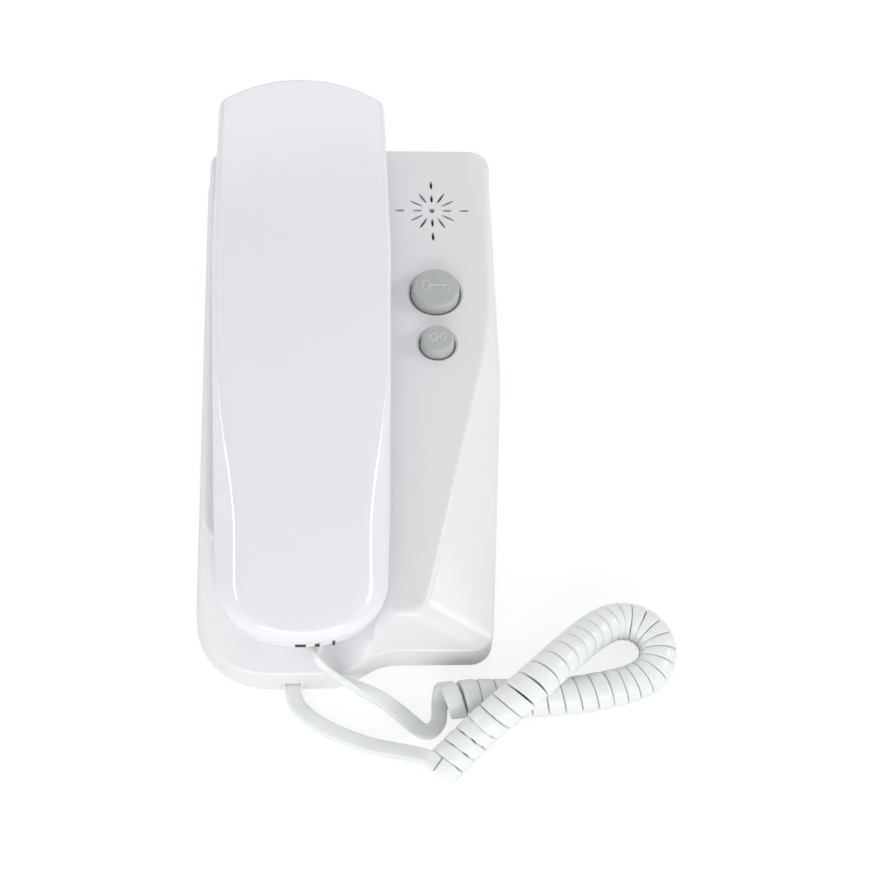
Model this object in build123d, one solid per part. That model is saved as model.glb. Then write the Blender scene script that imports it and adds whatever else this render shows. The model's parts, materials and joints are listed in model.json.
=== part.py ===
from build123d import *
import math
import os

# Wall audio intercom: a base unit, a handset lying in its cradle and the curly cord between them.
# It lies on its back as photographed. X is to the right, Y towards the earpiece, Z out of the front.
# The origin is on the wall face, under the middle of the base. All sizes are in millimetres.

# Base housing
base_half_width = 48.0
base_top = 96.0
base_bottom = 85.0
bowl_bottom = 92.5
bowl_step_right = 8.0
bowl_step_left = -4.0
knee_height = 12.0
base_taper = 7.0
corner_radius = 7.0
knee_radius = 150.0
step_radius = 16.0
bowl_radius = 22.0
rim_height = 10.0
rim_round = 1.0
rim_arc_shares = (0, 0.333, 0.667)
panel_height = 26.0
panel_round = 2.6
panel_arc_shares = (0.333, 0.556, 0.778, 1)
panel_margin = 1.3
crease_knee_inset = 3.4
crease_knee_y = 20.0
crease_foot_share = 0.38
crease_foot_y = -81.0
crease_inner_x = 8.0
cradle_foot_x = 2.0
cradle_foot_y = -56.0
crease_foot_radius = 7.0
shell_wall = 2.0
overrun = 1.0
fit_gap = 0.15
seat_gap = 0.3

# Back plate
plate_thick = 2.5
wall_hole_spacing = 60.0
wall_hole_radius = 2.25
cable_entry_width = 26.0
cable_entry_height = 20.0
clip_width = 9.0
clip_height = 4.0
clip_thick = 1.6
clip_nose = 0.8
clip_top_inset = 18.0
clip_bottom_inset = 22.0

# Handset shells
handset_x = -16.3
handset_apex = 119.6
apex_rise = 18.6
handset_shoulder = handset_apex - apex_rise
handset_grip_y = 40.0
handset_neck_y = -50.0
handset_heel_y = -87.5
handset_foot_y = -95.0
top_half_width = 27.2
grip_half_width = 28.2
neck_half_width = 26.3
heel_half_width = 24.6
shoulder_radius = 4.0
apex_round_share = 0.8715
grip_radius = 300.0
heel_radius = 19.0
foot_round_share = 0.42
handset_front = 47.0
handset_front_y = 10.0
handset_front_top = 42.5
handset_front_foot = 36.5
handset_edge_round = 3.0
handset_wall = 2.0
parting_height = 31.0
handset_under = 27.0
rear_inset = 1.4
lip_height = 1.5
lip_thick = 1.4

# Cradle wells and the handset's two cups
ear_y = 68.0
ear_cup_size = 40.0
ear_cup_round = 17.0
ear_floor = 13.0
mouth_y = -65.0
mouth_cup_width = 37.0
mouth_cup_length = 36.0
mouth_cup_round = 14.0
mouth_floor = 12.0
well_gap = 1.5
well_wall = 1.8

# Sound grilles
star_y = 68.6
star_dot_radius = 0.95
star_ray_width = 0.9
star_near_start = 3.3
star_near_end = 6.6
star_far_start = 8.9
star_far_end = 12.4
star_slant_start = 3.6
star_slant_end = 8.3
star_rays = 12
star_long_count = 4
ear_hole_radius = 1.1
ear_hole_ring = 6.0
ear_hole_count = 8
mouth_hole_radius = 0.9
mouth_hole_ring = 3.2
mouth_hole_count = 6

# Ringer loudspeaker behind the star, between the earpiece's well and the side wall
ringer_share = 0.4
well_right = handset_x + ear_cup_size / 2 + well_gap + well_wall
ringer_radius = ringer_share * (base_half_width - well_right)
ringer_gap = 0.8
ringer_rim_thick = 2.4
ringer_rim_width = 2.6
ringer_basket_depth = 6.0
ringer_basket_wall = 1.0
ringer_magnet_radius = 9.0
ringer_magnet_thick = 3.4
ringer_cone_thick = 0.5
ringer_cone_depth = 2.8
ringer_cap_radius = 5.0
ringer_collar_wall = 1.3
ringer_collar_depth = 4.5
star_x = base_half_width - panel_margin - shell_wall - seat_gap - ringer_collar_wall - ringer_radius
button_x = star_x

# Push buttons
door_button_y = 35.1
bell_button_y = 15.3
door_cap_radius = 8.0
bell_cap_radius = 5.6
button_gap = 0.3
button_hole_bevel = 0.7
button_stand = 3.5
button_edge_round = 0.9
button_travel = 1.5
button_flange = 1.6
button_flange_thick = 2.0
button_stem_radius = 2.2
button_spring_wall = 0.8
button_spring_inset = 2.0

# Circuit board and what it carries
board_inset = 8.5
board_reach = 16.2
board_right = base_half_width - board_inset
board_left = button_x - board_reach
board_bottom = -20.0
board_top = 48.0
board_height = 11.0
board_thick = 1.6
board_screw_inset = 3.6
post_radius = 3.0
screw_radius = 1.1
screw_head_radius = 2.1
screw_head_height = 1.6
screw_length = 7.0
tact_size = 6.0
tact_height = 3.5
tact_pin_radius = 1.7
tact_pin_height = 1.0
relay_length = 15.0
relay_width = 7.0
relay_height = 9.0
relay_inset = 10.0
relay_x = board_left + relay_inset
relay_y = -9.0
ic_length = 9.6
ic_width = 6.4
ic_height = 2.6
ic_inset = 7.5
ic_x = board_right - ic_inset
ic_y = -8.0
ic_lead_width = 0.8
ic_lead_reach = 1.4
ic_lead_count = 7
capacitor_radius = 2.5
capacitor_height = 7.5
capacitor_inset = 4.0
capacitor_x = board_left + capacitor_inset
capacitor_first_y = 8.0
capacitor_pitch = 7.0
capacitor_count = 5

# Hook switch under the earpiece
hook_y = 53.5
hook_pin_radius = 2.5
hook_guide_gap = 0.1
hook_flange_radius = 4.0
hook_flange_thick = 1.0
hook_flange_top = 6.9
hook_arm_reach = 10.0
hook_arm_width = 4.0
hook_spring_radius = 3.4
hook_spring_wall = 0.7
hook_switch_length = 8.0
hook_switch_width = 6.0
hook_switch_offset = 8.6

# Line terminals
terminal_inset = 11.0
terminal_x = terminal_inset - base_half_width
terminal_width = 9.0
terminal_pitch = 5.5
terminal_count = 5
terminal_height = 9.0
terminal_screw_radius = 1.7
terminal_screw_depth = 4.0
terminal_wire_radius = 1.3

# Modular jacks and plugs, one at each end of the cord
jack_width = 11.2
jack_height = 8.6
jack_depth = 14.0
jack_throat_width = 7.9
jack_throat_height = 6.8
jack_throat_depth = 11.0
plug_width = 7.7
plug_height = 6.6
plug_length = 12.0
plug_tail_width = 6.2
plug_tail_height = 3.8
plug_tail_length = 2.6
plug_depth = 9.0
latch_width = 3.0
latch_thick = 0.8
handset_jack_x = -12.6
handset_jack_mouth = -82.4
handset_jack_floor = 18.6
jack_house_wall = 1.5
base_jack_x = -19.0
base_jack_mouth = -82.0
base_jack_floor = 0.6
base_tail_drop = 2.9
cord_slot_width = 6.0
cord_slot_height = 3.6

# Earpiece, microphone and weight in the handset
earpiece_radius = 15.0
earpiece_rim_thick = 2.0
earpiece_back_radius = 11.0
earpiece_back_depth = 4.5
earpiece_pad_thick = 0.8
earpiece_pad_width = 2.5
mic_y = -59.5
mic_radius = 4.85
mic_height = 5.0
mic_boot_wall = 1.5
weight_length = 48.0
weight_width = 18.0
weight_thick = 6.0
weight_y = 0.0
handset_screw_y = 40.0
handset_boss_radius = 3.6
handset_pilot_radius = 1.2
handset_screw_length = 10.0
handset_screw_sink = 1.6

# Flat cord, its curly stretch and the route of each stretch
cord_width = 4.7
cord_thick = 2.3
cord_edge_round = 1.0
curl_wire = 3.6
curl_outer = 11.4
curl_pitch = 5.15
loop_pitch = 8.0
loop_start_share = 0.44
loop_end_share = 0.69
end_pitch = 6.6
end_start_share = 0.95
ease_share = 0.05
curl_steps = 4000
bend_share = 0.45
exit_run = 3.2
join_run = 2.4
handset_cord_route = [
    (-11.0, -94.0, 20.4), (-7.2, -95.2, 14.4), (-0.6, -95.8, 8.4), (6.6, -97.6, 4.4),
    (12.2, -101.2, 2.4), (16.95, -105.3, 1.5), (19.55, -107.5, 1.3), (22.15, -107.5, 1.4),
]
base_cord_route = [
    (-18.9, -96.0, 1.6), (-16.6, -100.4, 1.4), (-11.2, -105.0, 1.3),
    (-3.8, -108.8, 1.3), (4.6, -112.2, 1.5), (11.4, -114.8, 4.4),
]
coil_axis_route = [
    (24.3, -121.4, 6.2), (33.0, -113.4, 9.4), (41.8, -107.4, 14.8), (50.2, -101.2, 18.4),
    (58.0, -93.6, 17.6), (65.2, -85.6, 13.2), (71.8, -78.2, 8.6), (79.6, -72.9, 6.0),
    (87.9, -74.8, 5.9), (92.2, -82.0, 5.8), (89.8, -90.4, 5.8), (82.0, -94.8, 5.8),
    (72.4, -96.8, 5.8), (61.6, -98.6, 5.8), (49.6, -99.0, 5.8), (38.4, -98.6, 5.8),
    (30.4, -99.0, 5.8), (24.8, -99.8, 5.8),
]


# Small helpers
def block(x0, x1, y0, y1, z0, z1):
    """A box between two corners."""
    at = Pos((x0 + x1) / 2, (y0 + y1) / 2, (z0 + z1) / 2)
    return at * Box(x1 - x0, y1 - y0, z1 - z0)


def disc(x, y, z0, z1, radius):
    """An upright cylinder from z0 to z1."""
    return Pos(x, y, (z0 + z1) / 2) * Cylinder(radius, z1 - z0)


def ring(x, y, z0, z1, outer, inner):
    """An upright tube from z0 to z1."""
    return disc(x, y, z0, z1, outer) - disc(x, y, z0 - overrun, z1 + overrun, inner)


def rounded_block(x, y, z0, z1, width, length, radius):
    """An upright block with rounded corners."""
    return extrude(Pos(x, y, z0) * RectangleRounded(width, length, radius), z1 - z0)


def save(name, shape):
    """Writes one piece to its own file."""
    export_step(shape, f"parts/{name}.step")


# Outlines that can be drawn in by an inset
def drawn_in(points, inset):
    """Corners of a clockwise polygon after each side moves inwards by the inset."""
    moved = []
    count = len(points)
    for k in range(count):
        before, here, after = points[k - 1], points[k], points[(k + 1) % count]
        first = Vector(here[0] - before[0], here[1] - before[1]).normalized()
        second = Vector(after[0] - here[0], after[1] - here[1]).normalized()
        inward_first = Vector(first.Y, -first.X)
        inward_second = Vector(second.Y, -second.X)
        bisector = inward_first + inward_second
        reach = inset / (1 + inward_first.dot(inward_second))
        moved.append((here[0] + bisector.X * reach, here[1] + bisector.Y * reach))
    return moved


def turns_inward(points, k):
    """True where a clockwise polygon has a hollow corner."""
    before, here, after = points[k - 1], points[k], points[(k + 1) % len(points)]
    cross = (here[0] - before[0]) * (after[1] - here[1]) - (here[1] - before[1]) * (after[0] - here[0])
    return cross > 0


def outline(points, radii, inset, height):
    """A closed rounded outline at a height, as a face."""
    corners = [(x, y, height) for x, y in drawn_in(points, inset)]
    rounds = [
        radius + inset if turns_inward(points, k) else radius - inset
        for k, radius in enumerate(radii)
    ]
    return Face(Wire(FilletPolyline(*corners, radius=rounds, close=True).edges()))


def raised(points, radii, inset, base, height):
    """A rounded outline raised from a base by a height."""
    return extrude(outline(points, radii, inset, base), height, dir=(0, 0, 1))


# Base housing
rim_points = [
    (-base_half_width, base_top),
    (base_half_width, base_top),
    (base_half_width, knee_height),
    (base_half_width - base_taper, -base_bottom),
    (bowl_step_right, -base_bottom),
    (bowl_step_left, -bowl_bottom),
    (-base_half_width, -bowl_bottom),
]
rim_radii = [corner_radius, corner_radius, knee_radius, corner_radius, step_radius, step_radius, bowl_radius]
crease_foot_x = crease_inner_x + crease_foot_share * (base_half_width - base_taper - crease_inner_x)
panel_points = [
    (panel_margin - base_half_width, base_top - panel_margin),
    (base_half_width - panel_margin, base_top - panel_margin),
    (base_half_width - crease_knee_inset, crease_knee_y),
    (crease_foot_x, crease_foot_y),
    (crease_inner_x, crease_foot_y),
    (cradle_foot_x, cradle_foot_y),
    (panel_margin - base_half_width, cradle_foot_y),
]
panel_radii = [
    corner_radius, corner_radius, knee_radius, crease_foot_radius,
    crease_foot_radius, crease_foot_radius, crease_foot_radius,
]


def base_form(inset, drop, foot):
    """The base's outer form, drawn in all round and lowered on top."""
    rim = rim_height - drop - rim_round
    panel = panel_height - drop - panel_round
    sections = [outline(rim_points, rim_radii, inset, foot)]
    for share in rim_arc_shares:
        drawn = inset + rim_round * (1 - math.cos(math.pi / 2 * share))
        height = rim + rim_round * math.sin(math.pi / 2 * share)
        sections.append(outline(rim_points, rim_radii, drawn, height))
    first = math.cos(math.pi / 2 * panel_arc_shares[0])
    for share in panel_arc_shares:
        drawn = inset + panel_round * (first - math.cos(math.pi / 2 * share))
        height = panel + panel_round * math.sin(math.pi / 2 * share)
        sections.append(outline(panel_points, panel_radii, drawn, height))
    return loft(sections, ruled=True)


def well(x, y, width, length, radius, floor, growth):
    """A cradle well's hollow, or with growth the cup round it."""
    across = width + 2 * (well_gap + growth)
    along = length + 2 * (well_gap + growth)
    top = panel_height + handset_front
    return rounded_block(x, y, floor - growth, top, across, along, radius + well_gap + growth)


def star_cuts():
    """The sound holes: a dot with lens-shaped rays all round it."""
    cuts = Pos(star_x, star_y) * Circle(star_dot_radius)
    for k in range(star_rays):
        turn = Rot(0, 0, k * 360 / star_rays)
        if k % (star_rays // star_long_count) == 0:
            spans = [(star_near_start, star_near_end), (star_far_start, star_far_end)]
        else:
            spans = [(star_slant_start, star_slant_end)]
        for start, end in spans:
            lens = Ellipse((end - start) / 2, star_ray_width / 2)
            cuts += Pos(star_x, star_y) * turn * Pos((start + end) / 2, 0) * lens
    return extrude(Pos(0, 0, panel_height - shell_wall - overrun) * cuts, shell_wall + 2 * overrun)


def clip_places():
    """Each snap clip's x and the inside face of the shell wall that it holds."""
    inside_top = base_top - shell_wall
    return [
        (clip_top_inset - base_half_width, inside_top, 1),
        (base_half_width - clip_top_inset, inside_top, 1),
        (base_half_width - clip_bottom_inset, shell_wall - base_bottom, -1),
    ]


def clip_nose_at(x, face, side, growth):
    """The nose of a snap clip, or with growth its pocket in the shell wall."""
    near = face - side * (fit_gap + growth)
    far = face + side * (clip_nose + growth)
    base = plate_thick + clip_height / 2 - growth
    top = plate_thick + clip_height + growth
    half = clip_width / 2 + growth
    return block(x - half, x + half, min(near, far), max(near, far), base, top)


def front_shell():
    """The base's moulded cover with the cradle wells, button holes and star grille."""
    shell = base_form(0, 0, 0) - base_form(shell_wall, shell_wall, -overrun)
    ear = (handset_x, ear_y, ear_cup_size, ear_cup_size, ear_cup_round, ear_floor)
    mouth = (handset_x, mouth_y, mouth_cup_width, mouth_cup_length, mouth_cup_round, mouth_floor)
    outer = base_form(0, 0, 0)
    shell += outer & well(*ear, well_wall)
    shell += outer & well(*mouth, well_wall)
    shell -= well(*ear, 0)
    shell -= well(*mouth, 0)
    collar_base = panel_height - shell_wall - ringer_collar_depth
    collar_inner = ringer_radius + fit_gap
    shell += ring(
        star_x, star_y, collar_base, panel_height - shell_wall / 2,
        collar_inner + ringer_collar_wall, collar_inner,
    )
    shell -= star_cuts()
    panel_under = panel_height - shell_wall
    for y, radius in ((door_button_y, door_cap_radius), (bell_button_y, bell_cap_radius)):
        hole = radius + button_gap
        shell -= disc(button_x, y, panel_under - overrun, panel_height + overrun, hole)
        shell -= Pos(button_x, y, panel_height) * Cone(
            hole, hole + 2 * button_hole_bevel, 2 * button_hole_bevel
        )
    shell -= disc(
        handset_x, hook_y, ear_floor - well_wall - overrun, ear_floor + overrun,
        hook_pin_radius + hook_guide_gap,
    )
    shell -= block(
        base_jack_x - cord_slot_width / 2, base_jack_x + cord_slot_width / 2,
        -bowl_bottom - overrun, -bowl_bottom + shell_wall + overrun,
        -overrun, cord_slot_height,
    )
    for place in clip_places():
        shell -= clip_nose_at(*place, fit_gap)
    return shell


def back_plate():
    """The plate that is screwed to the wall and carries the board, terminals and jack."""
    plate = raised(rim_points, rim_radii, shell_wall + fit_gap, 0, plate_thick)
    for y in (-wall_hole_spacing / 2, wall_hole_spacing / 2):
        plate -= disc(handset_x, y, -overrun, plate_thick + overrun, wall_hole_radius)
    plate -= block(
        handset_x - cable_entry_width / 2, handset_x + cable_entry_width / 2,
        -cable_entry_height / 2, cable_entry_height / 2, -overrun, plate_thick + overrun,
    )
    plate -= block(
        base_jack_x - jack_width / 2 - fit_gap, base_jack_x + jack_width / 2 + fit_gap,
        -bowl_bottom, base_jack_mouth + jack_depth + fit_gap, -overrun, plate_thick + overrun,
    )
    for x, y in board_screw_places():
        plate += disc(x, y, plate_thick, board_height, post_radius)
        plate -= disc(x, y, board_height - screw_length, board_height + overrun, screw_radius)
    for x, face, side in clip_places():
        near = face - side * fit_gap
        inner = near - side * clip_thick
        plate += block(
            x - clip_width / 2, x + clip_width / 2, min(near, inner), max(near, inner),
            0, plate_thick + clip_height,
        )
        plate += clip_nose_at(x, face, side, 0)
    return plate


# Push buttons
def button(y, radius):
    """A push button: a domed cap, a flange that keeps it in and a stem to its switch."""
    top = panel_height + button_stand
    flange_top = panel_height - shell_wall - seat_gap
    cap = disc(button_x, y, flange_top, top, radius)
    cap = fillet(cap.edges().sort_by(Axis.Z)[-1], button_edge_round)
    flange = disc(button_x, y, flange_top - button_flange_thick, flange_top, radius + button_flange)
    stem_end = board_height + board_thick + tact_height + tact_pin_height + button_travel + seat_gap
    stem = disc(button_x, y, stem_end, flange_top, button_stem_radius)
    return cap + flange + stem


def button_spring(y, radius):
    """The return spring between the board and the button's flange, as its envelope."""
    outer = radius + button_flange - button_spring_inset
    top = panel_height - shell_wall - seat_gap - button_flange_thick
    return ring(button_x, y, board_height + board_thick, top, outer, outer - button_spring_wall)


def tact_switches():
    """The two switches under the buttons."""
    base = board_height + board_thick
    switches = []
    for y in (door_button_y, bell_button_y):
        body = block(
            button_x - tact_size / 2, button_x + tact_size / 2,
            y - tact_size / 2, y + tact_size / 2, base, base + tact_height,
        )
        pin = disc(button_x, y, base + tact_height, base + tact_height + tact_pin_height, tact_pin_radius)
        switches.append(body + pin)
    return Compound(children=switches)


# Circuit board
def board_screw_places():
    """The four corners where the board is screwed down."""
    return [
        (x, y)
        for x in (board_left + board_screw_inset, board_right - board_screw_inset)
        for y in (board_bottom + board_screw_inset, board_top - board_screw_inset)
    ]


def main_board():
    """The circuit board with its screw holes."""
    top = board_height + board_thick
    board = block(board_left, board_right, board_bottom, board_top, board_height, top)
    for x, y in board_screw_places():
        board -= disc(x, y, board_height - overrun, top + overrun, screw_radius + fit_gap)
    return board


def pan_screw(x, y, seat, length):
    """A pan-head screw with a cross recess, its head on the seat."""
    head = disc(x, y, seat, seat + screw_head_height, screw_head_radius)
    shank = disc(x, y, seat - length, seat, screw_radius)
    slot = screw_head_radius / 2
    width = screw_head_radius / 4
    depth = seat + screw_head_height / 2
    screw = head + shank
    screw -= block(x - slot, x + slot, y - width, y + width, depth, seat + screw_head_height + overrun)
    screw -= block(x - width, x + width, y - slot, y + slot, depth, seat + screw_head_height + overrun)
    return screw


def board_screws():
    """The screws that hold the board to the plate's posts."""
    seat = board_height + board_thick
    length = screw_length - seat_gap
    return Compound(children=[pan_screw(x, y, seat, length) for x, y in board_screw_places()])


def relay():
    """The relay that opens the door."""
    base = board_height + board_thick
    return block(
        relay_x - relay_width / 2, relay_x + relay_width / 2,
        relay_y - relay_length / 2, relay_y + relay_length / 2, base, base + relay_height,
    )


def audio_chip():
    """The amplifier chip with its rows of legs."""
    base = board_height + board_thick
    chip = block(
        ic_x - ic_width / 2, ic_x + ic_width / 2,
        ic_y - ic_length / 2, ic_y + ic_length / 2, base, base + ic_height,
    )
    reach = ic_width / 2 + ic_lead_reach
    half = ic_lead_width / 2
    for k in range(ic_lead_count):
        y = ic_y + (k - (ic_lead_count - 1) / 2) * ic_length / ic_lead_count
        chip += block(ic_x - reach, ic_x + reach, y - half, y + half, base, base + ic_lead_width)
    return chip


def capacitors():
    """The upright capacitors along the board's edge."""
    base = board_height + board_thick
    places = [capacitor_first_y + k * capacitor_pitch for k in range(capacitor_count)]
    return Compound(children=[
        disc(capacitor_x, y, base, base + capacitor_height, capacitor_radius) for y in places
    ])


# Ringer loudspeaker
ringer_top = panel_height - shell_wall - ringer_gap
ringer_rim_base = ringer_top - ringer_rim_thick
ringer_basket_base = ringer_rim_base - ringer_basket_depth


def ringer_frame():
    """The loudspeaker's rim and conical basket."""
    frame = ring(star_x, star_y, ringer_rim_base, ringer_top, ringer_radius, ringer_radius - ringer_rim_width)
    outer = Pos(star_x, star_y, (ringer_rim_base + ringer_basket_base) / 2) * Cone(
        ringer_magnet_radius + ringer_basket_wall, ringer_radius, ringer_basket_depth
    )
    inner = Pos(star_x, star_y, (ringer_rim_base + ringer_basket_base) / 2 + ringer_basket_wall) * Cone(
        ringer_magnet_radius - ringer_basket_wall, ringer_radius - ringer_rim_width, ringer_basket_depth
    )
    return frame + (outer - inner)


def ringer_cone():
    """The loudspeaker's paper cone with its dust cap."""
    rim = ringer_radius - ringer_rim_width - fit_gap
    base = ringer_rim_base + fit_gap
    form = Cone(ringer_cap_radius, rim, ringer_cone_depth)
    place = Pos(star_x, star_y, base + ringer_cone_depth / 2)
    cone = place * form - place * Pos(0, 0, ringer_cone_thick) * form
    return cone & disc(star_x, star_y, base, ringer_top, rim)


def ringer_magnet():
    """The loudspeaker's magnet."""
    bottom = ringer_basket_base - ringer_magnet_thick
    return disc(star_x, star_y, bottom, ringer_basket_base, ringer_magnet_radius)


# Hook switch
def hook_plunger():
    """The pin that the handset holds down, with its flange and the arm over the switch."""
    top = ear_floor + fit_gap
    base = hook_flange_top - hook_flange_thick
    pin = disc(handset_x, hook_y, hook_flange_top, top, hook_pin_radius)
    flange = disc(handset_x, hook_y, base, hook_flange_top, hook_flange_radius)
    arm = block(
        handset_x, handset_x + hook_arm_reach, hook_y - hook_arm_width / 2, hook_y + hook_arm_width / 2,
        base, hook_flange_top,
    )
    return pin + flange + arm


def hook_spring():
    """The spring that lifts the pin, as its envelope."""
    base = hook_flange_top - hook_flange_thick
    inner = hook_spring_radius - hook_spring_wall
    return ring(handset_x, hook_y, plate_thick, base, hook_spring_radius, inner)


def hook_switch():
    """The switch beside the pin, under its arm."""
    top = hook_flange_top - hook_flange_thick - seat_gap
    x = handset_x + hook_switch_offset
    return block(
        x - hook_switch_width / 2, x + hook_switch_width / 2,
        hook_y - hook_switch_length / 2, hook_y + hook_switch_length / 2, plate_thick, top,
    )


# Line terminals
def terminal_places():
    """The middle of each terminal along the block."""
    return [(k - (terminal_count - 1) / 2) * terminal_pitch for k in range(terminal_count)]


def terminal_block():
    """The moulded block with a screw well and a wire hole for each line."""
    half = terminal_count * terminal_pitch / 2
    left = terminal_x - terminal_width / 2
    right = terminal_x + terminal_width / 2
    top = plate_thick + terminal_height
    body = block(left, right, -half, half, plate_thick, top)
    well_radius = terminal_screw_radius + fit_gap
    for y in terminal_places():
        body -= disc(terminal_x, y, top - terminal_screw_depth, top + overrun, well_radius)
        hole = Pos(right, y, plate_thick + terminal_height / 4)
        body -= hole * Rot(0, 90, 0) * Cylinder(terminal_wire_radius, terminal_width / 2)
    return body


def terminal_screws():
    """The slotted screws of the terminal block."""
    top = plate_thick + terminal_height
    screws = []
    for y in terminal_places():
        screw = disc(terminal_x, y, top - terminal_screw_depth, top - fit_gap, terminal_screw_radius)
        slot = terminal_screw_radius / 4
        screw -= block(
            terminal_x - terminal_screw_radius, terminal_x + terminal_screw_radius,
            y - slot, y + slot, top - terminal_screw_depth / 4, top,
        )
        screws.append(screw)
    return Compound(children=screws)


# Modular jacks and plugs
def jack(x, mouth, floor):
    """A modular jack that opens towards the cord, with a throat for the plug."""
    half = jack_width / 2
    body = block(x - half, x + half, mouth, mouth + jack_depth, floor, floor + jack_height)
    middle = floor + jack_height / 2
    body -= block(
        x - jack_throat_width / 2, x + jack_throat_width / 2, mouth - overrun, mouth + jack_throat_depth,
        middle - jack_throat_height / 2, middle + jack_throat_height / 2,
    )
    return body


def plug(x, mouth, floor, tail_drop):
    """A modular plug: its body in the jack, a latch on top and a tail round the cord."""
    middle = floor + jack_height / 2
    tip = mouth + plug_depth
    rear = tip - plug_length
    body = block(
        x - plug_width / 2, x + plug_width / 2, rear, tip,
        middle - plug_height / 2, middle + plug_height / 2 - latch_thick,
    )
    body += block(
        x - latch_width / 2, x + latch_width / 2, rear, tip - plug_length / 3,
        middle, middle + plug_height / 2,
    )
    tail_middle = middle - tail_drop
    body += block(
        x - plug_tail_width / 2, x + plug_tail_width / 2, rear - plug_tail_length, rear,
        tail_middle - plug_tail_height / 2, tail_middle + plug_tail_height / 2,
    )
    return body


# Handset
handset_points = [
    (handset_x - top_half_width, handset_shoulder),
    (handset_x, handset_apex),
    (handset_x + top_half_width, handset_shoulder),
    (handset_x + grip_half_width, handset_grip_y),
    (handset_x + neck_half_width, handset_neck_y),
    (handset_x + heel_half_width, handset_heel_y),
    (handset_x, handset_foot_y),
    (handset_x - heel_half_width, handset_heel_y),
    (handset_x - neck_half_width, handset_neck_y),
    (handset_x - grip_half_width, handset_grip_y),
]
foot_drop = handset_heel_y - handset_foot_y
apex_radius = apex_round_share * math.hypot(top_half_width, apex_rise) * top_half_width / apex_rise
foot_radius = foot_round_share * math.hypot(heel_half_width, foot_drop) * heel_half_width / foot_drop
handset_radii = [
    shoulder_radius, apex_radius, shoulder_radius, grip_radius, grip_radius,
    heel_radius, foot_radius, heel_radius, grip_radius, grip_radius,
]


def handset_form(inset, drop, base):
    """The handset's outer form above a height: its outline under a bowed front."""
    body = raised(handset_points, handset_radii, inset, base, handset_front)
    foot = Vector(0, handset_foot_y, handset_front_foot - drop)
    crown = Vector(0, handset_front_y, handset_front - drop)
    top = Vector(0, handset_apex, handset_front_top - drop)
    bow = ThreePointArc(foot, crown, top)
    under = Polyline(top, (0, handset_apex, base - overrun), (0, handset_foot_y, base - overrun), foot)
    side = Face(Wire(bow.edges() + under.edges()))
    slab = extrude(side, amount=handset_front + grip_half_width, both=True)
    return body & slab


def handset_front_shell():
    """The handset's outer moulding with its screw bosses."""
    outer = handset_form(0, 0, parting_height)
    rim = outer.faces().sort_by(Axis.Z)[-1].edges()
    outer = fillet(rim, handset_edge_round)
    inner = handset_form(handset_wall, handset_wall, parting_height - overrun)
    shell = outer - inner
    for y in (-handset_screw_y, handset_screw_y):
        boss = disc(handset_x, y, parting_height, handset_front, handset_boss_radius)
        shell += boss & outer
        pilot_top = handset_under + handset_screw_sink + handset_screw_length + seat_gap
        shell -= disc(handset_x, y, parting_height - overrun, pilot_top, handset_pilot_radius)
    return shell


def handset_cups(growth, top):
    """The earpiece and mouthpiece cups up to a height, or with negative growth their hollows."""
    ear = rounded_block(
        handset_x, ear_y, ear_floor + seat_gap - growth, top,
        ear_cup_size + 2 * growth, ear_cup_size + 2 * growth, ear_cup_round + growth,
    )
    mouth = rounded_block(
        handset_x, mouth_y, mouth_floor + seat_gap - growth, top,
        mouth_cup_width + 2 * growth, mouth_cup_length + 2 * growth, mouth_cup_round + growth,
    )
    return ear + mouth


def jack_house():
    """The block that holds the handset's jack."""
    half = jack_width / 2 + fit_gap + jack_house_wall
    end = handset_jack_mouth + jack_depth + fit_gap + jack_house_wall
    return block(
        handset_jack_x - half, handset_jack_x + half, handset_jack_mouth - fit_gap, end,
        mouth_floor + seat_gap, handset_under + handset_wall,
    )


def handset_rear_shell():
    """The handset's inner moulding: the tray, the two cups, the jack's house and the lip."""
    floor_top = handset_under + handset_wall
    tray = raised(handset_points, handset_radii, rear_inset, handset_under, parting_height - handset_under)
    tray -= raised(handset_points, handset_radii, rear_inset + handset_wall, floor_top, parting_height)
    lip_inset = handset_wall + fit_gap
    lip_rise = parting_height - floor_top + lip_height
    lip = raised(handset_points, handset_radii, lip_inset, floor_top, lip_rise)
    lip -= raised(handset_points, handset_radii, lip_inset + lip_thick, floor_top - overrun, parting_height)
    shell = tray + lip + handset_cups(0, floor_top)
    shell -= handset_cups(-handset_wall, parting_height)
    shell += jack_house()
    ceiling = floor_top + overrun
    half = jack_width / 2 + fit_gap
    shell -= block(
        handset_jack_x - half, handset_jack_x + half, handset_jack_mouth - overrun,
        handset_jack_mouth + jack_depth + fit_gap, handset_jack_floor - fit_gap, ceiling,
    )
    shell -= sound_holes(ear_y, ear_floor, ear_hole_radius, ear_hole_ring, ear_hole_count)
    shell -= sound_holes(mic_y, mouth_floor, mouth_hole_radius, mouth_hole_ring, mouth_hole_count)
    for y in (-handset_screw_y, handset_screw_y):
        shell += disc(handset_x, y, handset_under, parting_height - seat_gap, handset_boss_radius)
        shell -= disc(handset_x, y, handset_under - overrun, parting_height + overrun, screw_radius + fit_gap)
        sink_top = handset_under + handset_screw_sink
        shell -= disc(handset_x, y, handset_under - overrun, sink_top, screw_head_radius + fit_gap)
    return shell


def sound_holes(y, floor, radius, circle, count):
    """A middle hole and a ring of holes through a cup's floor."""
    low = floor - overrun
    high = floor + seat_gap + handset_wall + overrun
    holes = disc(handset_x, y, low, high, radius)
    for k in range(count):
        angle = 2 * math.pi * k / count
        holes += disc(handset_x + circle * math.cos(angle), y + circle * math.sin(angle), low, high, radius)
    return holes


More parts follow.
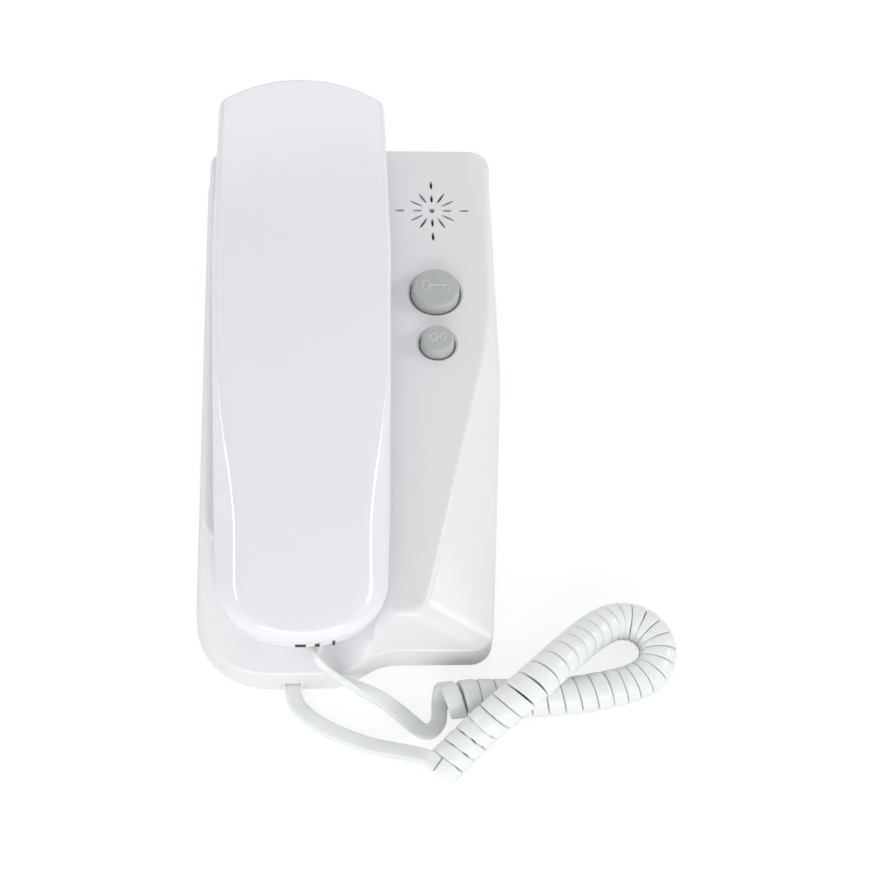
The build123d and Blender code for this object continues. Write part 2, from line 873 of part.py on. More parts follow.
def handset_screws():
    """The two screws that close the handset from underneath."""
    screws = []
    for y in (-handset_screw_y, handset_screw_y):
        seat = handset_under + handset_screw_sink
        turned = Pos(0, 0, 2 * seat) * Rot(180, 0, 0) * pan_screw(handset_x, -y, seat, handset_screw_length)
        screws.append(turned)
    return Compound(children=screws)


def earpiece():
    """The receiver capsule over the ear cup's holes."""
    base = ear_floor + seat_gap + handset_wall + earpiece_pad_thick
    rim = disc(handset_x, ear_y, base, base + earpiece_rim_thick, earpiece_radius)
    return rim + disc(
        handset_x, ear_y, base + earpiece_rim_thick, base + earpiece_rim_thick + earpiece_back_depth,
        earpiece_back_radius,
    )


def earpiece_pad():
    """The foam ring between the receiver and the cup."""
    base = ear_floor + seat_gap + handset_wall
    inner = earpiece_radius - earpiece_pad_width
    return ring(handset_x, ear_y, base, base + earpiece_pad_thick, earpiece_radius, inner)


def microphone():
    """The microphone capsule over the mouth cup's holes."""
    base = mouth_floor + seat_gap + handset_wall
    return disc(handset_x, mic_y, base, base + mic_height, mic_radius)


def microphone_boot():
    """The rubber ring that holds the microphone."""
    base = mouth_floor + seat_gap + handset_wall
    return ring(handset_x, mic_y, base, base + mic_height, mic_radius + mic_boot_wall, mic_radius)


def ballast_weight():
    """The steel bar that gives the handset its weight, on the tray's floor."""
    base = handset_under + handset_wall
    return block(
        handset_x - weight_width / 2, handset_x + weight_width / 2,
        weight_y - weight_length / 2, weight_y + weight_length / 2, base, base + weight_thick,
    )


# Cord
def bend_radii(points):
    """The radius at each inner point: a share of the shorter run over the tangent of half the turn."""
    radii = []
    for k in range(1, len(points) - 1):
        before = Vector(points[k]) - Vector(points[k - 1])
        after = Vector(points[k + 1]) - Vector(points[k])
        turn = math.radians(before.get_angle(after))
        radii.append(bend_share * min(before.length, after.length) / math.tan(turn / 2))
    return radii


def route_wire(points):
    """Straight runs joined by tangent arcs."""
    return Wire(FilletPolyline(*points, radius=bend_radii(points)).edges())


def flat_cord(name, points, across):
    """A flat cord along a route, its wide side along the given direction at its start."""
    path = route_wire(points)
    start = Plane(origin=points[0], x_dir=across, z_dir=path % 0)
    section = start * RectangleRounded(cord_width, cord_thick, cord_edge_round)
    solid = sweep(section, path=path)
    expected = section.area * path.length
    radii = ", ".join(f"{radius:.1f}" for radius in bend_radii(points))
    print(f"{name}: length {path.length:.1f}, volume {solid.volume:.1f} of {expected:.1f}, radii {radii}")
    return solid


def eased(share, start, width):
    """A smooth step from 0 to 1 over a width that is centred on start."""
    t = min(1, max(0, (share - start) / width + 1 / 2))
    return t * t * (3 - 2 * t)


def pitch_at(share):
    """The curl's pitch at a share of the coil's length, wider round the loop and at the end."""
    inside = eased(share, loop_start_share, ease_share) - eased(share, loop_end_share, ease_share)
    opened = eased(share, end_start_share, ease_share)
    return curl_pitch + (loop_pitch - curl_pitch) * inside + (end_pitch - curl_pitch) * opened


class Curl:
    """The wound wire: its place and direction at any share of the coil's length."""

    def __init__(self):
        self.axis = route_wire(coil_axis_route)
        self.radius = (curl_outer - curl_wire) / 2
        self.turned = [0]
        step = self.axis.length / curl_steps
        for k in range(curl_steps):
            self.turned.append(self.turned[-1] + step / pitch_at((k + 1 / 2) / curl_steps))
        self.turns = math.floor(self.turned[-1]) + 1 / 2
        self.scale = self.turns / self.turned[-1]

    def share_at(self, turn):
        """The share of the coil's length at which the wire has made so many turns."""
        wanted = turn / self.scale
        low, high = 0, curl_steps
        while high - low > 1:
            middle = (low + high) // 2
            if self.turned[middle] <= wanted:
                low = middle
            else:
                high = middle
        part = (wanted - self.turned[low]) / (self.turned[high] - self.turned[low])
        return (low + part) / curl_steps

    def point(self, turn):
        """The wire's centre after so many turns: it starts on top of the coil and runs to the right."""
        share = self.share_at(turn)
        along = self.axis % share
        side = along.cross(Vector(0, 0, 1)).normalized()
        up = side.cross(along)
        angle = math.pi / 2 - 2 * math.pi * turn
        return self.axis @ share + (side * math.cos(angle) + up * math.sin(angle)) * self.radius

    def direction(self, turn):
        """The wire's direction after so many turns."""
        step = 1 / curl_steps
        ahead = self.point(min(turn + step, self.turns))
        return (ahead - self.point(max(turn - step, 0))).normalized()


def biarc(start, along_start, end, along_end):
    """Two tangent arcs from one point and direction to another."""
    chord = end - start
    both = along_start + along_end
    spread = 2 * (1 - along_start.dot(along_end))
    reach = (math.sqrt(chord.dot(both) ** 2 + spread * chord.dot(chord)) - chord.dot(both)) / spread
    joint = (start + end + (along_start - along_end) * reach) / 2
    between = (end - along_end * reach) - (start + along_start * reach)
    return [
        Edge.make_tangent_arc(start, along_start, joint),
        Edge.make_tangent_arc(joint, between, end),
    ]


curl = Curl()
curl_start = curl.point(0) - curl.direction(0) * curl_wire
curl_end = curl.point(curl.turns) + curl.direction(curl.turns) * curl_wire


def cord_coil():
    """The curly stretch: one unbroken tube of quarter-turn biarcs with straight ends."""
    quarters = round(curl.turns * 4)
    edges = [Edge.make_line(curl_start, curl.point(0))]
    for k in range(quarters):
        here, there = k / 4, (k + 1) / 4
        edges += biarc(curl.point(here), curl.direction(here), curl.point(there), curl.direction(there))
    edges.append(Edge.make_line(curl.point(curl.turns), curl_end))
    path = Wire(edges)
    section = Plane(origin=curl_start, z_dir=curl.direction(0)) * Circle(curl_wire / 2)
    coil = sweep(section, path=path)
    expected = section.area * path.length
    print(f"cord_coil: {curl.turns} turns, length {path.length:.1f}")
    print(f"cord_coil: volume {coil.volume:.1f} of {expected:.1f}, least gap to itself {least_gap():.2f}")
    return coil


def least_gap():
    """The least distance between turns of the curl, less the wire."""
    per_turn = 24
    count = round(curl.turns * per_turn)
    places = [curl.point(k / per_turn) for k in range(count + 1)]
    least = curl.axis.length
    for k in range(count + 1):
        for other in range(k + round(per_turn * 0.6), count + 1):
            least = min(least, (places[k] - places[other]).length)
    return least - curl_wire


def coil_axis_report():
    """Prints the coil's axis length and bend radii."""
    radii = ", ".join(f"{radius:.1f}" for radius in bend_radii(coil_axis_route))
    print(f"coil axis: length {curl.axis.length:.1f}, radii {radii}")


def as_tuple(point):
    """A vector's three numbers."""
    return (point.X, point.Y, point.Z)


def plug_exit(x, mouth, floor, tail_drop):
    """The first two points of a cord that leaves a plug's tail."""
    end = mouth + plug_depth - plug_length - plug_tail_length
    height = floor + jack_height / 2 - tail_drop
    return [(x, end, height), (x, end - exit_run, height)]


def handset_lead():
    """The straight stretch from the handset's plug to the curly stretch."""
    start = plug_exit(handset_jack_x, handset_jack_mouth, handset_jack_floor, 0)
    end = [as_tuple(curl_end + curl.direction(curl.turns) * join_run), as_tuple(curl_end)]
    return flat_cord("cord_handset_lead", start + handset_cord_route + end, (1, 0, 0))


def base_lead():
    """The straight stretch from the base's plug to the curly stretch."""
    start = plug_exit(base_jack_x, base_jack_mouth, base_jack_floor, base_tail_drop)
    end = [as_tuple(curl_start - curl.direction(0) * join_run), as_tuple(curl_start)]
    return flat_cord("cord_base_lead", start + base_cord_route + end, (1, 0, 0))


# The whole part
os.makedirs("parts", exist_ok=True)

save("front_shell", front_shell())
save("back_plate", back_plate())
save("main_board", main_board())
save("board_screws", board_screws())
save("door_relay", relay())
save("audio_chip", audio_chip())
save("capacitors", capacitors())
save("tact_switches", tact_switches())
save("door_button", button(door_button_y, door_cap_radius))
save("bell_button", button(bell_button_y, bell_cap_radius))
save("door_button_spring", button_spring(door_button_y, door_cap_radius))
save("bell_button_spring", button_spring(bell_button_y, bell_cap_radius))
save("ringer_frame", ringer_frame())
save("ringer_cone", ringer_cone())
save("ringer_magnet", ringer_magnet())
save("hook_plunger", hook_plunger())
save("hook_spring", hook_spring())
save("hook_switch", hook_switch())
save("terminal_block", terminal_block())
save("terminal_screws", terminal_screws())
save("base_jack", jack(base_jack_x, base_jack_mouth, base_jack_floor))
save("handset_front_shell", handset_front_shell())
save("handset_rear_shell", handset_rear_shell())
save("handset_screws", handset_screws())
save("earpiece_capsule", earpiece())
save("earpiece_pad", earpiece_pad())
save("microphone_capsule", microphone())
save("microphone_boot", microphone_boot())
save("ballast_weight", ballast_weight())
save("handset_jack", jack(handset_jack_x, handset_jack_mouth, handset_jack_floor))
save("handset_plug", plug(handset_jack_x, handset_jack_mouth, handset_jack_floor, 0))
save("base_plug", plug(base_jack_x, base_jack_mouth, base_jack_floor, base_tail_drop))

coil_axis_report()
save("cord_coil", cord_coil())
save("cord_handset_lead", handset_lead())
save("cord_base_lead", base_lead())
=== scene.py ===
"""Looks for a wall audio intercom: a base unit, a handset lying in its cradle and a curly cord.

Everything is in metres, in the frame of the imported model: X to the right, Y towards the earpiece,
Z out of the wall. The sizes of pieces and of the floor are in millimetres and are turned into metres
at the end. The cord's routes, the camera, the lamps and the materials' depths are in metres.
"""

import json
import logging
import math
from dataclasses import dataclass
from enum import Enum
from typing import Callable, Dict, List, Sequence, Tuple

import bmesh
import bpy
import numpy as np
from mathutils import Matrix

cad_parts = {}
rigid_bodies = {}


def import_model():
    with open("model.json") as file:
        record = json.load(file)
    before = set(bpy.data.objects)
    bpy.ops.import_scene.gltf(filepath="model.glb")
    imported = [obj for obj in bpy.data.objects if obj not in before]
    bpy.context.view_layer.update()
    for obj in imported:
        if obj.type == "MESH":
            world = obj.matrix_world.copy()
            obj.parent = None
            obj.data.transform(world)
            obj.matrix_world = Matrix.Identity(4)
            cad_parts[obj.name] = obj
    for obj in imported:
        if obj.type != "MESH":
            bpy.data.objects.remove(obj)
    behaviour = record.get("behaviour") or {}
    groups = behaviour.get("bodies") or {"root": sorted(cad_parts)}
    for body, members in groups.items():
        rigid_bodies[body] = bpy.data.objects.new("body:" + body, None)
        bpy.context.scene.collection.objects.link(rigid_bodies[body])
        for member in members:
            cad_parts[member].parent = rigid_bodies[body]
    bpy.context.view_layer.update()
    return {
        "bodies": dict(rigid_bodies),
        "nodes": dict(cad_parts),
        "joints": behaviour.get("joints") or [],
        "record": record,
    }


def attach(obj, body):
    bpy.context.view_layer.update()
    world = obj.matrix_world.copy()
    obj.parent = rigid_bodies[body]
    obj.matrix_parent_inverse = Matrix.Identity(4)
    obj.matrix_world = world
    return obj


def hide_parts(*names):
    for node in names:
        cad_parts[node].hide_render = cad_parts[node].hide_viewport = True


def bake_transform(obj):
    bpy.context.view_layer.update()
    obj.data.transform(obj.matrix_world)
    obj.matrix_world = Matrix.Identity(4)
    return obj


LOG = logging.getLogger("intercom")
MM = 0.001
WELD_REACH = 2e-6
SLIVER_LENGTH = 1e-6
WHITE = (1.0, 1.0, 1.0, 1.0)
Colour = Tuple[float, float, float]
Point = Tuple[float, float, float]
Array = np.ndarray


# Numbers and curves
def unit(vectors: Array) -> Array:
    """Scales each vector in the last axis to length one.

    Args:
        vectors: an array whose last axis holds the components.

    Returns:
        The same directions with length one.
    """
    return vectors / np.linalg.norm(vectors, axis=-1, keepdims=True)


def smooth_step(value: Array, low: float, high: float) -> Array:
    """A soft step: 3 t squared minus 2 t cubed, with t running from 0 at low to 1 at high.

    Args:
        value: where the step is wanted.
        low: the value at which it leaves 0.
        high: the value at which it reaches 1.

    Returns:
        The step, from 0 to 1.
    """
    t = np.clip((value - low) / (high - low), 0.0, 1.0)
    return t * t * (3.0 - 2.0 * t)


def bezier(start: Array, middle: Array, end: Array, shares: Array) -> Array:
    """Points of quadratic curves: (1-t)^2 start + 2 t (1-t) middle + t^2 end.

    Args:
        start: the first points, one row each.
        middle: the control points.
        end: the last points.
        shares: the values of t.

    Returns:
        An array of one row of points for each t.
    """
    t = shares[:, None, None]
    return (1 - t) ** 2 * start[None] + 2 * t * (1 - t) * middle[None] + t * t * end[None]


def reached_along(points: Array) -> Array:
    """How far along a polyline each of its points lies.

    Args:
        points: the polyline.

    Returns:
        The distances from its start, beginning with 0.
    """
    return np.concatenate([[0.0], np.cumsum(np.linalg.norm(np.diff(points, axis=0), axis=1))])


def even_points(points: Array, count: int) -> Tuple[Array, float]:
    """Spaces points evenly along a polyline.

    Args:
        points: the polyline.
        count: how many points are wanted.

    Returns:
        The new points, and the polyline's length.
    """
    reached = reached_along(points)
    wanted = np.linspace(0, reached[-1], count)
    spread = np.stack([np.interp(wanted, reached, points[:, k]) for k in range(3)], axis=-1)
    return spread, float(reached[-1])


@dataclass(frozen=True)
class RoundedOutline:
    """A clockwise polygon with rounded corners, sampled alike on every corner and side.

    A corner's arc runs from the side before it: start + r (sin a * along + s (1 - cos a) * inward),
    where s is 1 at a bulging corner and -1 at a hollow one.
    """

    points: Tuple[Tuple[float, float], ...]
    radii: Tuple[float, ...]
    arc_steps: int = 10
    side_steps: int = 22

    def sample(self) -> Tuple[Array, Array]:
        """Samples the outline.

        Returns:
            The points and the inward normals, both in order round the outline.
        """
        corner = np.array(self.points, float)
        radius = np.array(self.radii, float)
        along = unit(corner - np.roll(corner, 1, axis=0))
        beyond = unit(np.roll(corner, -1, axis=0) - corner)
        inward = np.column_stack([along[:, 1], -along[:, 0]])
        turn = np.arccos(np.clip((along * beyond).sum(1), -1, 1))
        bulge = np.where(along[:, 0] * beyond[:, 1] - along[:, 1] * beyond[:, 0] < 0, 1.0, -1.0)
        begin = corner - along * (radius * np.tan(turn / 2))[:, None]
        angle = turn[:, None] * np.linspace(0, 1, self.arc_steps)[None]
        sine, cosine = np.sin(angle)[..., None], np.cos(angle)[..., None]
        sign = bulge[:, None, None]
        arc = begin[:, None] + radius[:, None, None] * (
            sine * along[:, None] + sign * (1 - cosine) * inward[:, None])
        arc_normal = cosine * inward[:, None] - sign * sine * along[:, None]
        share = np.linspace(0, 1, self.side_steps + 2)[1:-1][None, :, None]
        following = np.roll(arc[:, 0], -1, axis=0)[:, None]
        side = arc[:, -1:] * (1 - share) + following * share
        side_normal = np.repeat(arc_normal[:, -1:], self.side_steps, axis=1)
        spots = np.concatenate([arc, side], axis=1).reshape(-1, 2)
        normals = np.concatenate([arc_normal, side_normal], axis=1).reshape(-1, 2)
        return spots, normals


# Meshes
def grid_faces(rows: int, columns: int, closed: bool) -> Array:
    """The quads of a grid of points, row by row.

    Args:
        rows: how many rows of points there are.
        columns: how many points are in a row.
        closed: whether a row joins up with its own start.

    Returns:
        An array of four point numbers for each quad.
    """
    reach = columns if closed else columns - 1
    row, column = np.meshgrid(np.arange(rows - 1), np.arange(reach), indexing="ij")
    ahead = (column + 1) % columns
    quads = np.stack([
        row * columns + column, row * columns + ahead,
        (row + 1) * columns + ahead, (row + 1) * columns + column], axis=-1)
    return quads.reshape(-1, 4)


def new_piece(name: str, points: Array, faces: Sequence[Sequence[int]], smooth: bool = True,
              crease: float = 35.0) -> bpy.types.Object:
    """Makes a mesh object from points in millimetres and closes its seams and poles.

    Args:
        name: the piece's name.
        points: an array of points, three numbers each.
        faces: the faces as lists of point numbers.
        smooth: whether the surface is shaded smooth.
        crease: the angle in degrees past which an edge stays sharp.

    Returns:
        The object, at the origin.
    """
    mesh = bpy.data.meshes.new(name)
    mesh.from_pydata((points.reshape(-1, 3) * MM).tolist(), [], [list(face) for face in faces])
    body = bmesh.new()
    body.from_mesh(mesh)
    bmesh.ops.remove_doubles(body, verts=body.verts, dist=WELD_REACH)
    bmesh.ops.dissolve_degenerate(body, edges=body.edges, dist=SLIVER_LENGTH)
    bmesh.ops.recalc_face_normals(body, faces=body.faces)
    body.to_mesh(mesh)
    body.free()
    mesh.polygons.foreach_set("use_smooth", [smooth] * len(mesh.polygons))
    if smooth:
        mesh.set_sharp_from_angle(angle=math.radians(crease))
    piece = bpy.data.objects.new(name, mesh)
    bpy.context.scene.collection.objects.link(piece)
    return piece


def joined_grids(grids: Sequence[Tuple[Array, bool]]) -> Tuple[Array, List[List[int]]]:
    """Puts several grids of points into one list.

    Args:
        grids: each grid's points, rows by columns by three, and whether its rows close.

    Returns:
        All the points, and the faces that number them.
    """
    points: List[Array] = []
    faces: List[List[int]] = []
    first = 0
    for grid, closed in grids:
        points.append(grid.reshape(-1, 3))
        faces += (grid_faces(grid.shape[0], grid.shape[1], closed) + first).tolist()
        first += grid.shape[0] * grid.shape[1]
    return np.concatenate(points), faces


def turned_surface(centre: Tuple[float, float], profile: Array, steps: int) -> Array:
    """A surface of revolution: each profile point (radius, height) goes round an upright axis.

    Args:
        centre: where the axis stands.
        profile: the radii and heights, from the middle outwards or back.
        steps: how many points go round.

    Returns:
        The grid of points, one row for each profile point.
    """
    angle = np.linspace(0, 2 * math.pi, steps, endpoint=False)
    circle = np.stack([np.cos(angle), np.sin(angle)], axis=-1)
    flat = profile[:, None, :1] * circle[None] + np.array(centre)
    height = np.repeat(profile[:, None, 1:], steps, axis=1)
    return np.concatenate([flat, height], axis=-1)


def carried_section(path: Array, across: Array, above: Array, section: Array) -> Array:
    """A section carried along a path: point + u * across + v * above, for each (u, v) of the section.

    Args:
        path: the points that the section's middle follows.
        across: the direction of u at each point.
        above: the direction of v at each point.
        section: the section's points (u, v), the same at each point or one set for each.

    Returns:
        The grid of points, one row for each path point.
    """
    shape = np.broadcast_to(section, (len(path),) + section.shape[-2:])
    return path[:, None] + shape[..., :1] * across[:, None] + shape[..., 1:] * above[:, None]


def capped(grid: Array) -> Array:
    """Closes both ends of a tube by drawing the first and last rows in to their middles.

    Args:
        grid: the tube's rows of points.

    Returns:
        The rows with a row of middle points added at each end.
    """
    first, last = grid[:1], grid[-1:]
    middle_first = np.repeat(first.mean(axis=1, keepdims=True), grid.shape[1], axis=1)
    middle_last = np.repeat(last.mean(axis=1, keepdims=True), grid.shape[1], axis=1)
    return np.concatenate([middle_first, grid, middle_last])


# Materials
@dataclass(frozen=True)
class Pattern:
    """A fine pattern that makes the relief, over a broad one that shifts colour and gloss.

    The fine one is noise or cells, and the broad one is noise by the object's own axes.
    """

    name: str
    broad_scale: float
    broad_detail: float
    broad_rough: float = 0.5
    detail: float = 0.0
    cells: bool = False
    source: str = "Object"
    stretch: Point = (1.0, 1.0, 1.0)


class Grain(Enum):
    """The kinds of surface detail: moulded plastic, drawn metal, foam or paper, and cord sheath."""

    MOULDED = Pattern("moulded_grain", 38.0, 4.0, 0.6, detail=3.0)
    BRUSHED = Pattern("brushed_grain", 220.0, 3.0, detail=4.0, stretch=(1.0, 0.06, 1.0))
    SPECKLED = Pattern("speckled_grain", 900.0, 5.0, 0.7, cells=True)
    CORD = Pattern("cord_grain", 90.0, 4.0, 0.55, detail=2.0, source="UV", stretch=(1.0, 0.02, 1.0))


class NodeBoard:
    """Places shader nodes in a tree and links them."""

    def __init__(self, tree: bpy.types.NodeTree) -> None:
        """Empties the tree.

        Args:
            tree: the node tree to fill.
        """
        self.tree = tree
        tree.nodes.clear()

    def add(self, kind: str, **inputs: object) -> bpy.types.Node:
        """Adds a node and sets its named inputs or properties.

        Args:
            kind: the node's type.
            inputs: values by input name, by at_ and the input's number, or by set_ and a property's name.

        Returns:
            The new node.
        """
        node = self.tree.nodes.new(kind)
        for name, value in inputs.items():
            if name.startswith("set_"):
                setattr(node, name[4:], value)
        for name, value in inputs.items():
            if not name.startswith("set_"):
                socket = node.inputs[int(name[3:]) if name.startswith("at_") else name.replace("_", " ")]
                if isinstance(value, bpy.types.NodeSocket):
                    self.tree.links.new(value, socket)
                else:
                    socket.default_value = value
        return node


def group_frame(name: str, sockets: Sequence[Tuple[str, str, str]]
                ) -> Tuple[NodeBoard, bpy.types.Node, bpy.types.Node]:
    """Starts a node group with named sockets.

    Args:
        name: the group's name.
        sockets: each socket's name, direction and type.

    Returns:
        The board to add nodes with, the group's input node and its output node.
    """
    tree = bpy.data.node_groups.new(name, "ShaderNodeTree")
    for label, direction, kind in sockets:
        tree.interface.new_socket(name=label, in_out=direction, socket_type=kind)
    board = NodeBoard(tree)
    return board, board.add("NodeGroupInput"), board.add("NodeGroupOutput")


def colour_mix(board: NodeBoard, mask: object, first: object, second: object) -> bpy.types.NodeSocket:
    """Mixes two colours by a mask.

    Args:
        board: where the node goes.
        mask: a socket or number from 0 to 1.
        first: the colour at 0.
        second: the colour at 1.

    Returns:
        The mixed colour's socket.
    """
    node = board.add("ShaderNodeMix", set_data_type="RGBA", at_0=mask, at_6=first, at_7=second)
    return node.outputs[2]


GRAIN_SOCKETS = (
    ("Base", "INPUT", "NodeSocketColor"),
    ("Tint", "INPUT", "NodeSocketColor"),
    ("Scale", "INPUT", "NodeSocketFloat"),
    ("Amount", "INPUT", "NodeSocketFloat"),
    ("Rough", "INPUT", "NodeSocketFloat"),
    ("Spread", "INPUT", "NodeSocketFloat"),
    ("Color", "OUTPUT", "NodeSocketColor"),
    ("Roughness", "OUTPUT", "NodeSocketFloat"),
    ("Height", "OUTPUT", "NodeSocketFloat"),
)


class GrainGroups:
    """Builds the shared node groups once and hands them out."""

    def __init__(self) -> None:
        """Builds every kind of grain."""
        self.groups = {grain: self._build(grain.value) for grain in Grain}

    @staticmethod
    def _coordinates(board: NodeBoard, source: str = "Object",
                     stretch: Point = (1.0, 1.0, 1.0)) -> bpy.types.NodeSocket:
        """Coordinates of the surface, stretched along the axes.

        Args:
            board: where the nodes go.
            source: Object or UV.
            stretch: the scale along each axis.

        Returns:
            The coordinates' socket.
        """
        spot = board.add("ShaderNodeTexCoord").outputs[source]
        return board.add("ShaderNodeMapping", Vector=spot, Scale=stretch).outputs[0]

    def _build(self, pattern: Pattern) -> bpy.types.NodeTree:
        """Makes one kind's node group.

        Args:
            pattern: what it shows.

        Returns:
            The node group.
        """
        board, given, result = group_frame(pattern.name, GRAIN_SOCKETS)
        spot = self._coordinates(board, pattern.source, pattern.stretch)
        kind = "ShaderNodeTexVoronoi" if pattern.cells else "ShaderNodeTexNoise"
        fine = board.add(kind, Vector=spot, Scale=given.outputs["Scale"], Detail=pattern.detail)
        around = spot if pattern.source == "Object" else self._coordinates(board)
        broad = board.add("ShaderNodeTexNoise", Vector=around, Scale=pattern.broad_scale,
                          Detail=pattern.broad_detail, Roughness=pattern.broad_rough).outputs[0]
        mask = board.add("ShaderNodeMath", set_operation="MULTIPLY", at_0=broad,
                         at_1=given.outputs["Amount"]).outputs[0]
        shade = colour_mix(board, mask, given.outputs["Base"], given.outputs["Tint"])
        rough = board.add("ShaderNodeMath", set_operation="MULTIPLY_ADD", at_0=broad,
                          at_1=given.outputs["Spread"], at_2=given.outputs["Rough"]).outputs[0]
        for label, socket in (("Color", shade), ("Roughness", rough), ("Height", fine.outputs[0])):
            board.tree.links.new(socket, result.inputs[label])
        return board.tree


@dataclass(frozen=True)
class Finish:
    """One material: its colours, gloss and the grain on its surface."""

    name: str
    base: Colour
    tint: Colour
    grain: Grain = Grain.MOULDED
    scale: float = 2600.0
    amount: float = 0.35
    rough: float = 0.3
    spread: float = 0.08
    relief: float = 0.06
    depth: float = 0.00002
    metallic: float = 0.0
    coat: float = 0.0
    coat_rough: float = 0.12
    transmission: float = 0.0
    sheen: float = 0.0
    subsurface: float = 0.0
    subsurface_depth: float = 0.002

    def build(self, groups: GrainGroups) -> bpy.types.Material:
        """Makes the material.

        Args:
            groups: the shared node groups.

        Returns:
            The material.
        """
        material = bpy.data.materials.new(self.name)
        material.use_nodes = True
        board = NodeBoard(material.node_tree)
        grain = board.add("ShaderNodeGroup", set_node_tree=groups.groups[self.grain])
        values = {
            "Base": (*self.base, 1.0), "Tint": (*self.tint, 1.0), "Scale": self.scale,
            "Amount": self.amount, "Rough": self.rough, "Spread": self.spread,
        }
        for label, value in values.items():
            grain.inputs[label].default_value = value
        bump = board.add("ShaderNodeBump", Height=grain.outputs["Height"], Strength=self.relief,
                         Distance=self.depth)
        shader = board.add(
            "ShaderNodeBsdfPrincipled", Base_Color=grain.outputs["Color"],
            Roughness=grain.outputs["Roughness"], Normal=bump.outputs["Normal"],
            Metallic=self.metallic, Coat_Weight=self.coat, Coat_Roughness=self.coat_rough,
            Transmission_Weight=self.transmission, Sheen_Weight=self.sheen,
            Subsurface_Weight=self.subsurface, Subsurface_Scale=self.subsurface_depth)
        board.add("ShaderNodeOutputMaterial", Surface=shader.outputs["BSDF"])
        return material


FINISHES: Tuple[Finish, ...] = (
    Finish("shell_plastic", (0.81, 0.79, 0.815), (0.775, 0.755, 0.785), rough=0.32, spread=0.06, coat=0.1,
           relief=0.03, amount=0.3),
    Finish("handset_plastic", (0.82, 0.806, 0.848), (0.79, 0.772, 0.825), rough=0.17, spread=0.05, coat=0.3,
           relief=0.03, amount=0.3),
    Finish("inner_plastic", (0.66, 0.65, 0.68), (0.6, 0.59, 0.62), rough=0.5, scale=1500.0, relief=0.2),
    Finish("button_plastic", (0.46, 0.485, 0.47), (0.41, 0.44, 0.43), rough=0.42, spread=0.1, relief=0.12),
    Finish("button_sign", (0.56, 0.585, 0.57), (0.5, 0.53, 0.52), rough=0.38, spread=0.1, relief=0.08),
    Finish("cord_plastic", (0.79, 0.825, 0.805), (0.74, 0.785, 0.765), grain=Grain.CORD, scale=900.0,
           rough=0.33, spread=0.12, relief=0.12, coat=0.15, subsurface=0.05),
    Finish("dark_plastic", (0.03, 0.03, 0.034), (0.05, 0.05, 0.055), rough=0.45, relief=0.15),
    Finish("clear_plastic", (0.86, 0.9, 0.92), (0.8, 0.85, 0.88), rough=0.08, relief=0.02,
           transmission=0.75),
    Finish("board_laminate", (0.03, 0.17, 0.07), (0.06, 0.26, 0.11), grain=Grain.SPECKLED, scale=700.0,
           rough=0.35, relief=0.25, amount=0.6),
    Finish("terminal_plastic", (0.05, 0.16, 0.36), (0.04, 0.12, 0.3), rough=0.4, relief=0.15),
    Finish("steel", (0.62, 0.62, 0.63), (0.5, 0.5, 0.52), grain=Grain.BRUSHED, scale=4000.0, rough=0.28,
           spread=0.18, metallic=1.0, relief=0.15),
    Finish("can_aluminium", (0.78, 0.78, 0.8), (0.68, 0.68, 0.7), grain=Grain.BRUSHED, scale=3000.0,
           rough=0.3, spread=0.15, metallic=1.0, relief=0.1),
    Finish("paper", (0.3, 0.27, 0.21), (0.22, 0.2, 0.16), grain=Grain.SPECKLED, scale=2500.0, rough=0.85,
           spread=0.1, relief=0.4),
    Finish("foam", (0.03, 0.03, 0.034), (0.06, 0.06, 0.065), grain=Grain.SPECKLED, scale=1800.0, rough=0.9,
           spread=0.08, relief=0.6, sheen=0.2),
)


class Paints:
    """The materials by name, and the dressing of CAD nodes and pieces with them."""

    def __init__(self, frame: Dict[str, object]) -> None:
        """Builds every material.
        """
        groups = GrainGroups()
        self.materials = {finish.name: finish.build(groups) for finish in FINISHES}
        self.nodes = frame["nodes"]
        self.slots = {part["node"]: part["material_slot"] for part in frame["record"]["subparts"]}

    def dress_nodes(self) -> None:
        """Gives each CAD node the material of its slot."""
        for name, node in self.nodes.items():
            slot = self.slots[name]
            node.data.materials.clear()
            node.data.materials.append(self.materials[slot])
            LOG.info("node %s wears %s", name, slot)

    def dress(self, piece: bpy.types.Object, slot: str, finish: str = "") -> None:
        """Gives a new piece the material of its slot, or the finish given instead.

        Args:
            piece: the new piece.
            slot: the record's material slot.
            finish: the material's name where it isn't the slot's own.
        """
        piece.data.materials.clear()
        piece.data.materials.append(self.materials[finish or slot])


